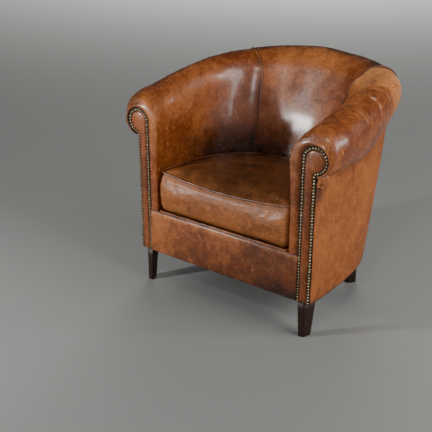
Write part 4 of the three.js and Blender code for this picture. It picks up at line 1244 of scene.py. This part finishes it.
def cushion_shell():
    """Rings from the middle of the underside, up the boxing, to the middle of the crowned top."""
    bottom, edge, crown = deck_height + 0.0006, seat_height + 0.002, 0.020
    rings = [cushion_ring(0.022, 0.022, bottom, squeeze) for squeeze in (0.02, 0.4, 0.75, 1.0)]
    # inset, front inset, share of the boxing's height, sag
    boxing = (
        (0.008, 0.010, 0.035, 0),
        (0.003, 0.004, 0.17, 0),
        (0.001, 0.001, 0.42, 0),
        (0.001, 0.002, 0.66, 0.5),
        (0.0035, 0.008, 0.86, 0.9),
    )
    for inset, front_inset, share, sag in boxing:
        ring = cushion_ring(inset, front_inset, bottom + (edge - bottom) * share)
        rings.append(sagged(ring, sag))
    rings.append(sagged(cushion_ring(0.006, 0.017, edge - 0.004), 1))
    squeezes = (1.0, 0.97, 0.92, 0.84, 0.72, 0.5, 0.28, 0.1, 0.01)
    lifts = (0.0, 0.10, 0.26, 0.48, 0.70, 0.90, 0.98, 1.0, 1.0)
    for squeeze, lift in zip(squeezes, lifts):
        ring = cushion_ring(0.006, 0.0195, edge + crown * lift, squeeze)
        rings.append(sagged(ring, 1 - 0.4 * lift))
    return np.stack(rings)


shell = cushion_shell()
print("cushion shell:", shell.shape)

# %% [markdown]
# ## Cloth under pressure
# A real cushion is a bag that its filling blows up. The shell is remeshed evenly and run as cloth with air
# pressure inside. Each point is then kept within a cap of its place, so that the cushion still fits its
# seat.


# %% Cloth
def read_points(mesh):
    """All vertices as an array."""
    flat = np.empty(len(mesh.vertices) * 3, dtype=np.float32)
    mesh.vertices.foreach_get("co", flat)
    return flat.reshape(-1, 3).astype(float)


def write_points(mesh, points):
    """Puts an array back into the vertices."""
    mesh.vertices.foreach_set("co", points.astype(np.float32).ravel())
    mesh.update()


def bake_modifiers(piece):
    """Replaces the mesh by what its modifiers make of it."""
    view = bpy.context.evaluated_depsgraph_get()
    made = bpy.data.meshes.new_from_object(piece.evaluated_get(view))
    piece.modifiers.clear()
    piece.data = made


def blow_up(piece, pressure, cap):
    """Remeshes the shell evenly, blows it up as cloth and keeps each point within a cap."""
    voxel, last_frame = 0.006, 20
    remesh = piece.modifiers.new("even", "REMESH")
    remesh.mode, remesh.voxel_size = "VOXEL", voxel
    bake_modifiers(piece)
    rest = read_points(piece.data)
    cloth = piece.modifiers.new("cloth", "CLOTH")
    cloth.settings.use_pressure = True
    cloth.settings.uniform_pressure_force = pressure
    cloth.settings.effector_weights.gravity = 0.0
    cloth.settings.tension_stiffness = 25
    cloth.settings.compression_stiffness = 25
    cloth.settings.bending_stiffness = 1.5
    scene = bpy.context.scene
    for number in range(1, last_frame + 1):
        scene.frame_set(number)
    bake_modifiers(piece)
    moved = read_points(piece.data) - rest
    distance = np.linalg.norm(moved, axis=1, keepdims=True)
    kept = moved * np.minimum(1, cap / np.maximum(distance, 1e-9))
    write_points(piece.data, rest + kept)
    scene.frame_set(1)
    print("cloth moved", round(float(distance.max()) * 1000, 1), "mm at most")


piece = make_piece("seat_cushion_leather", in_frame(shell), grid_faces(*shell.shape[:2], loop_columns=True))
fix_outward(piece)
blow_up(piece, pressure=4.0, cap=0.005)
points = read_points(piece.data)
print("the cushion has", len(points), "points")

# %% [markdown]
# ## The cushion's wear
# Years of sitting press a hollow into the seat and crumple its leather. The top stays dark, while its front
# is rubbed pale by legs.

# %% Cushion
top_z = seat_height + 0.012
points[:, 2] = np.maximum(points[:, 2], deck_height + 0.0004)
hollow = np.exp(-((points[:, 0] / 0.15) ** 2) - (((points[:, 1] + 0.12) / 0.13) ** 2))
points[:, 2] -= 0.006 * hollow * ease(top_z - 0.01, top_z + 0.01, points[:, 2])
crumple = lattice_noise(points, 0.045, 81) * 0.0016 + lattice_noise(points, 0.018, 82) * 0.0006
points[:, 2] += crumple * ease(deck_height + 0.01, deck_height + 0.03, points[:, 2])
write_points(piece.data, points)
upper = ease(top_z - 0.008, top_z + 0.006, points[:, 2])
front = 1 - ease(shift_y + 0.004, shift_y + 0.03, points[:, 1])
low = 1 - ease(0.272, 0.30, points[:, 2])
far_right = front * ease(0.08, 0.26, points[:, 0]) * (1 - upper)
rubbed = 0.20 + 0.44 * front * (1 - upper) + 0.12 * upper
masks = leather_masks(rubbed, 0.30 * upper + 0.35 * low + 0.22 * far_right)
for name, values in masks.items():
    layer = piece.data.attributes.new(name, "FLOAT", "POINT")
    layer.data.foreach_set("value", values.astype(np.float32))
piece.data.polygons.foreach_set("use_smooth", np.ones(len(piece.data.polygons), dtype=bool))
smooth = piece.modifiers.new("smooth", "SUBSURF")
smooth.levels = smooth.render_levels = 1
dress(piece, "seat_leather", "seat_cushion", fill=0.85)

# %% [markdown]
# ## Cushion welts
# Two closed rings of piping lie where the boxing meets the top and the underside. The upper one sags and
# rises with the front of the cushion.

# %% Cushion welts
top_ring = sagged(cushion_ring(0.0048, 0.0178, seat_height + 0.0022), 1)
bottom_ring = cushion_ring(0.003, 0.005, deck_height + 0.0038)
for name, ring, node, seed in (
    ("cushion_top_piping", top_ring, "seat_cushion_top_welt", 91),
    ("cushion_bottom_piping", bottom_ring, "seat_cushion_bottom_welt", 95),
):
    welt_piece(name, even_line(in_frame(ring), closed=True), 0.0030, node, seed, closed=True)

# %% [markdown]
# ## Legs
# The legs are tapered and square, with edges that wear has rounded. A section between a square and a circle,
# a superellipse with a high exponent, carried down the leg gives that in one surface.


# %% Shape of a leg
def leg(corner_rows, heights):
    """Sections with rounded corners carried between quadrilaterals, as a grid with closed ends."""
    sharpness, count = 9.0, 40
    turn = np.linspace(0, 2 * math.pi, count, endpoint=False) + math.pi / count
    scale = (np.abs(np.cos(turn)) ** sharpness + np.abs(np.sin(turn)) ** sharpness) ** (-1 / sharpness)
    s, t = ((np.cos(turn) * scale + 1) / 2)[:, None], ((np.sin(turn) * scale + 1) / 2)[:, None]
    rings = []
    for corners, z in zip(corner_rows, heights):
        a, b, c, d = (np.array(corner, dtype=float) for corner in corners)
        flat = (1 - t) * ((1 - s) * a + s * b) + t * ((1 - s) * d + s * c)
        rings.append(np.concatenate([flat, np.full((len(flat), 1), z)], axis=1))
    grid = np.stack(rings)
    ends = [grid[:1] * 0.0 + grid[k].mean(axis=0) for k in (0, -1)]
    return np.concatenate([ends[0], grid, ends[1]])


def turned_rectangle(width, depth, x, y, turn):
    """Corners of a rectangle about a point, turned about the upright."""
    corners = np.array([[-1, -1], [1, -1], [1, 1], [-1, 1]]) * [width / 2, depth / 2]
    c, s = math.cos(turn), math.sin(turn)
    return corners @ np.array([[c, s], [-s, c]]) + [x, y]


print("corners of a turned square:", turned_rectangle(0.03, 0.03, 0, 0, math.radians(-38)).round(3).tolist())

# %% [markdown]
# ## Front and rear legs
# A front leg follows the corner of the tub, so its section is a leaning quadrilateral. A rear leg stands
# under the curve of the back, turned with it, and sweeps a little to the rear as it comes down.

# %% Legs
leg_height = 0.1215
levels = np.array([0.0, 0.0015, 0.03, 0.06, 0.09, leg_height])
front_top = np.array([[0.290, 0.0032], [0.319, 0.0032], [0.3325, 0.050], [0.305, 0.050]])
front_foot = np.array([[0.299, 0.0032], [0.318, 0.0032], [0.328, 0.034], [0.307, 0.034]])
front_leg = [front_foot + (front_top - front_foot) * level / leg_height for level in levels]
front_leg[0] = front_foot.mean(axis=0) + (front_foot - front_foot.mean(axis=0)) * 0.93
rear_angle, rear_turn, rear_inset = math.radians(52), math.radians(-38), 0.045
rear_radius = superellipse(outside_half_widest, outside_depth, outside_squareness, rear_angle) - rear_inset
rear_x, rear_y = rear_radius * math.cos(rear_angle), straight_run + rear_radius * math.sin(rear_angle)
rear_leg = []
for share in levels / leg_height:
    size = (0.029 + 0.009 * share, 0.032 + 0.010 * share)
    rear_leg.append(turned_rectangle(*size, rear_x, rear_y + 0.014 * (1 - share) ** 1.6, rear_turn))
for end, rows in (("front", front_leg), ("rear", rear_leg)):
    points = leg(rows, levels)
    for side, word in both_sides:
        faces = grid_faces(*points.shape[:2], loop_columns=True)
        piece = make_piece(f"{word}_{end}_leg_wood", in_frame(points, side), faces)
        fix_outward(piece)
        dress(piece, "leg_wood", f"{word}_{end}_leg")

# %% [markdown]
# ## Studio
# A plain pale floor reaches past the frame. The key light stands on the right, and a small one behind it
# picks out the rear of the roll. Two narrow lights at the front left are mirrored in the back as its long
# shine. A small one over the camera keeps the front from going dull. A large one hangs far behind and makes
# the far floor pale. It is left out of mirror images, so that the tops of the roll show no pale reflection of
# it.


# %% Floor and lights
def soft_light(name, place_at, aim, size, power):
    """A rectangular area light that faces a point."""
    data = bpy.data.lights.new(name, "AREA")
    data.shape = "RECTANGLE"
    data.size, data.size_y = size
    data.energy = power
    light = bpy.data.objects.new(name, data)
    bpy.context.scene.collection.objects.link(light)
    position, target = np.array(place_at), np.array(aim)
    direction = (target - position) / np.linalg.norm(target - position)
    light.location = place_at
    light.rotation_euler = (math.acos(-direction[2]), 0.0, math.atan2(-direction[0], direction[1]))
    return light


floor_mesh = bpy.data.meshes.new("studio_floor")
floor_mesh.from_pydata([(-20, -20, 0), (20, -20, 0), (20, 20, 0), (-20, 20, 0)], [], [(0, 1, 2, 3)])
floor = bpy.data.objects.new("studio_floor", floor_mesh)
bpy.context.scene.collection.objects.link(floor)
floor_finish = Finish("floor_paint")
floor_finish.close({}, {"Base Color": (0.205, 0.205, 0.196), "Roughness": 0.8})
floor_mesh.materials.append(floor_finish.material)
soft_light("right_key", (2.75, -0.12, 1.75), (0.0, 0.0, 0.45), (1.7, 1.5), 82)
soft_light("right_accent", (2.3, 0.95, 1.45), (0.0, 0.0, 0.55), (0.35, 0.60), 17)
soft_light("front_left", (-1.36, -2.10, 0.97), (0.0, 0.1, 0.5), (0.15, 0.34), 44)
soft_light("front_left_tall", (-1.22, -2.00, 1.50), (0.0, 0.3, 0.6), (0.09, 0.75), 6)
soft_light("over_camera", (0.80, -1.80, 2.0), (0.0, 0.0, 0.5), (0.26, 0.26), 10)
backdrop = soft_light("backdrop", (-5.5, 9.0, 5.0), (-5.5, 9.0, 0.0), (7.0, 7.0), 2000)
backdrop.visible_glossy = False
world = bpy.data.worlds.new("studio")
world.use_nodes = True
sky = world.node_tree.nodes["Background"]
sky.inputs["Color"].default_value = (0.62, 0.63, 0.65, 1.0)
sky.inputs["Strength"].default_value = 0.11
bpy.context.scene.world = world

# %% [markdown]
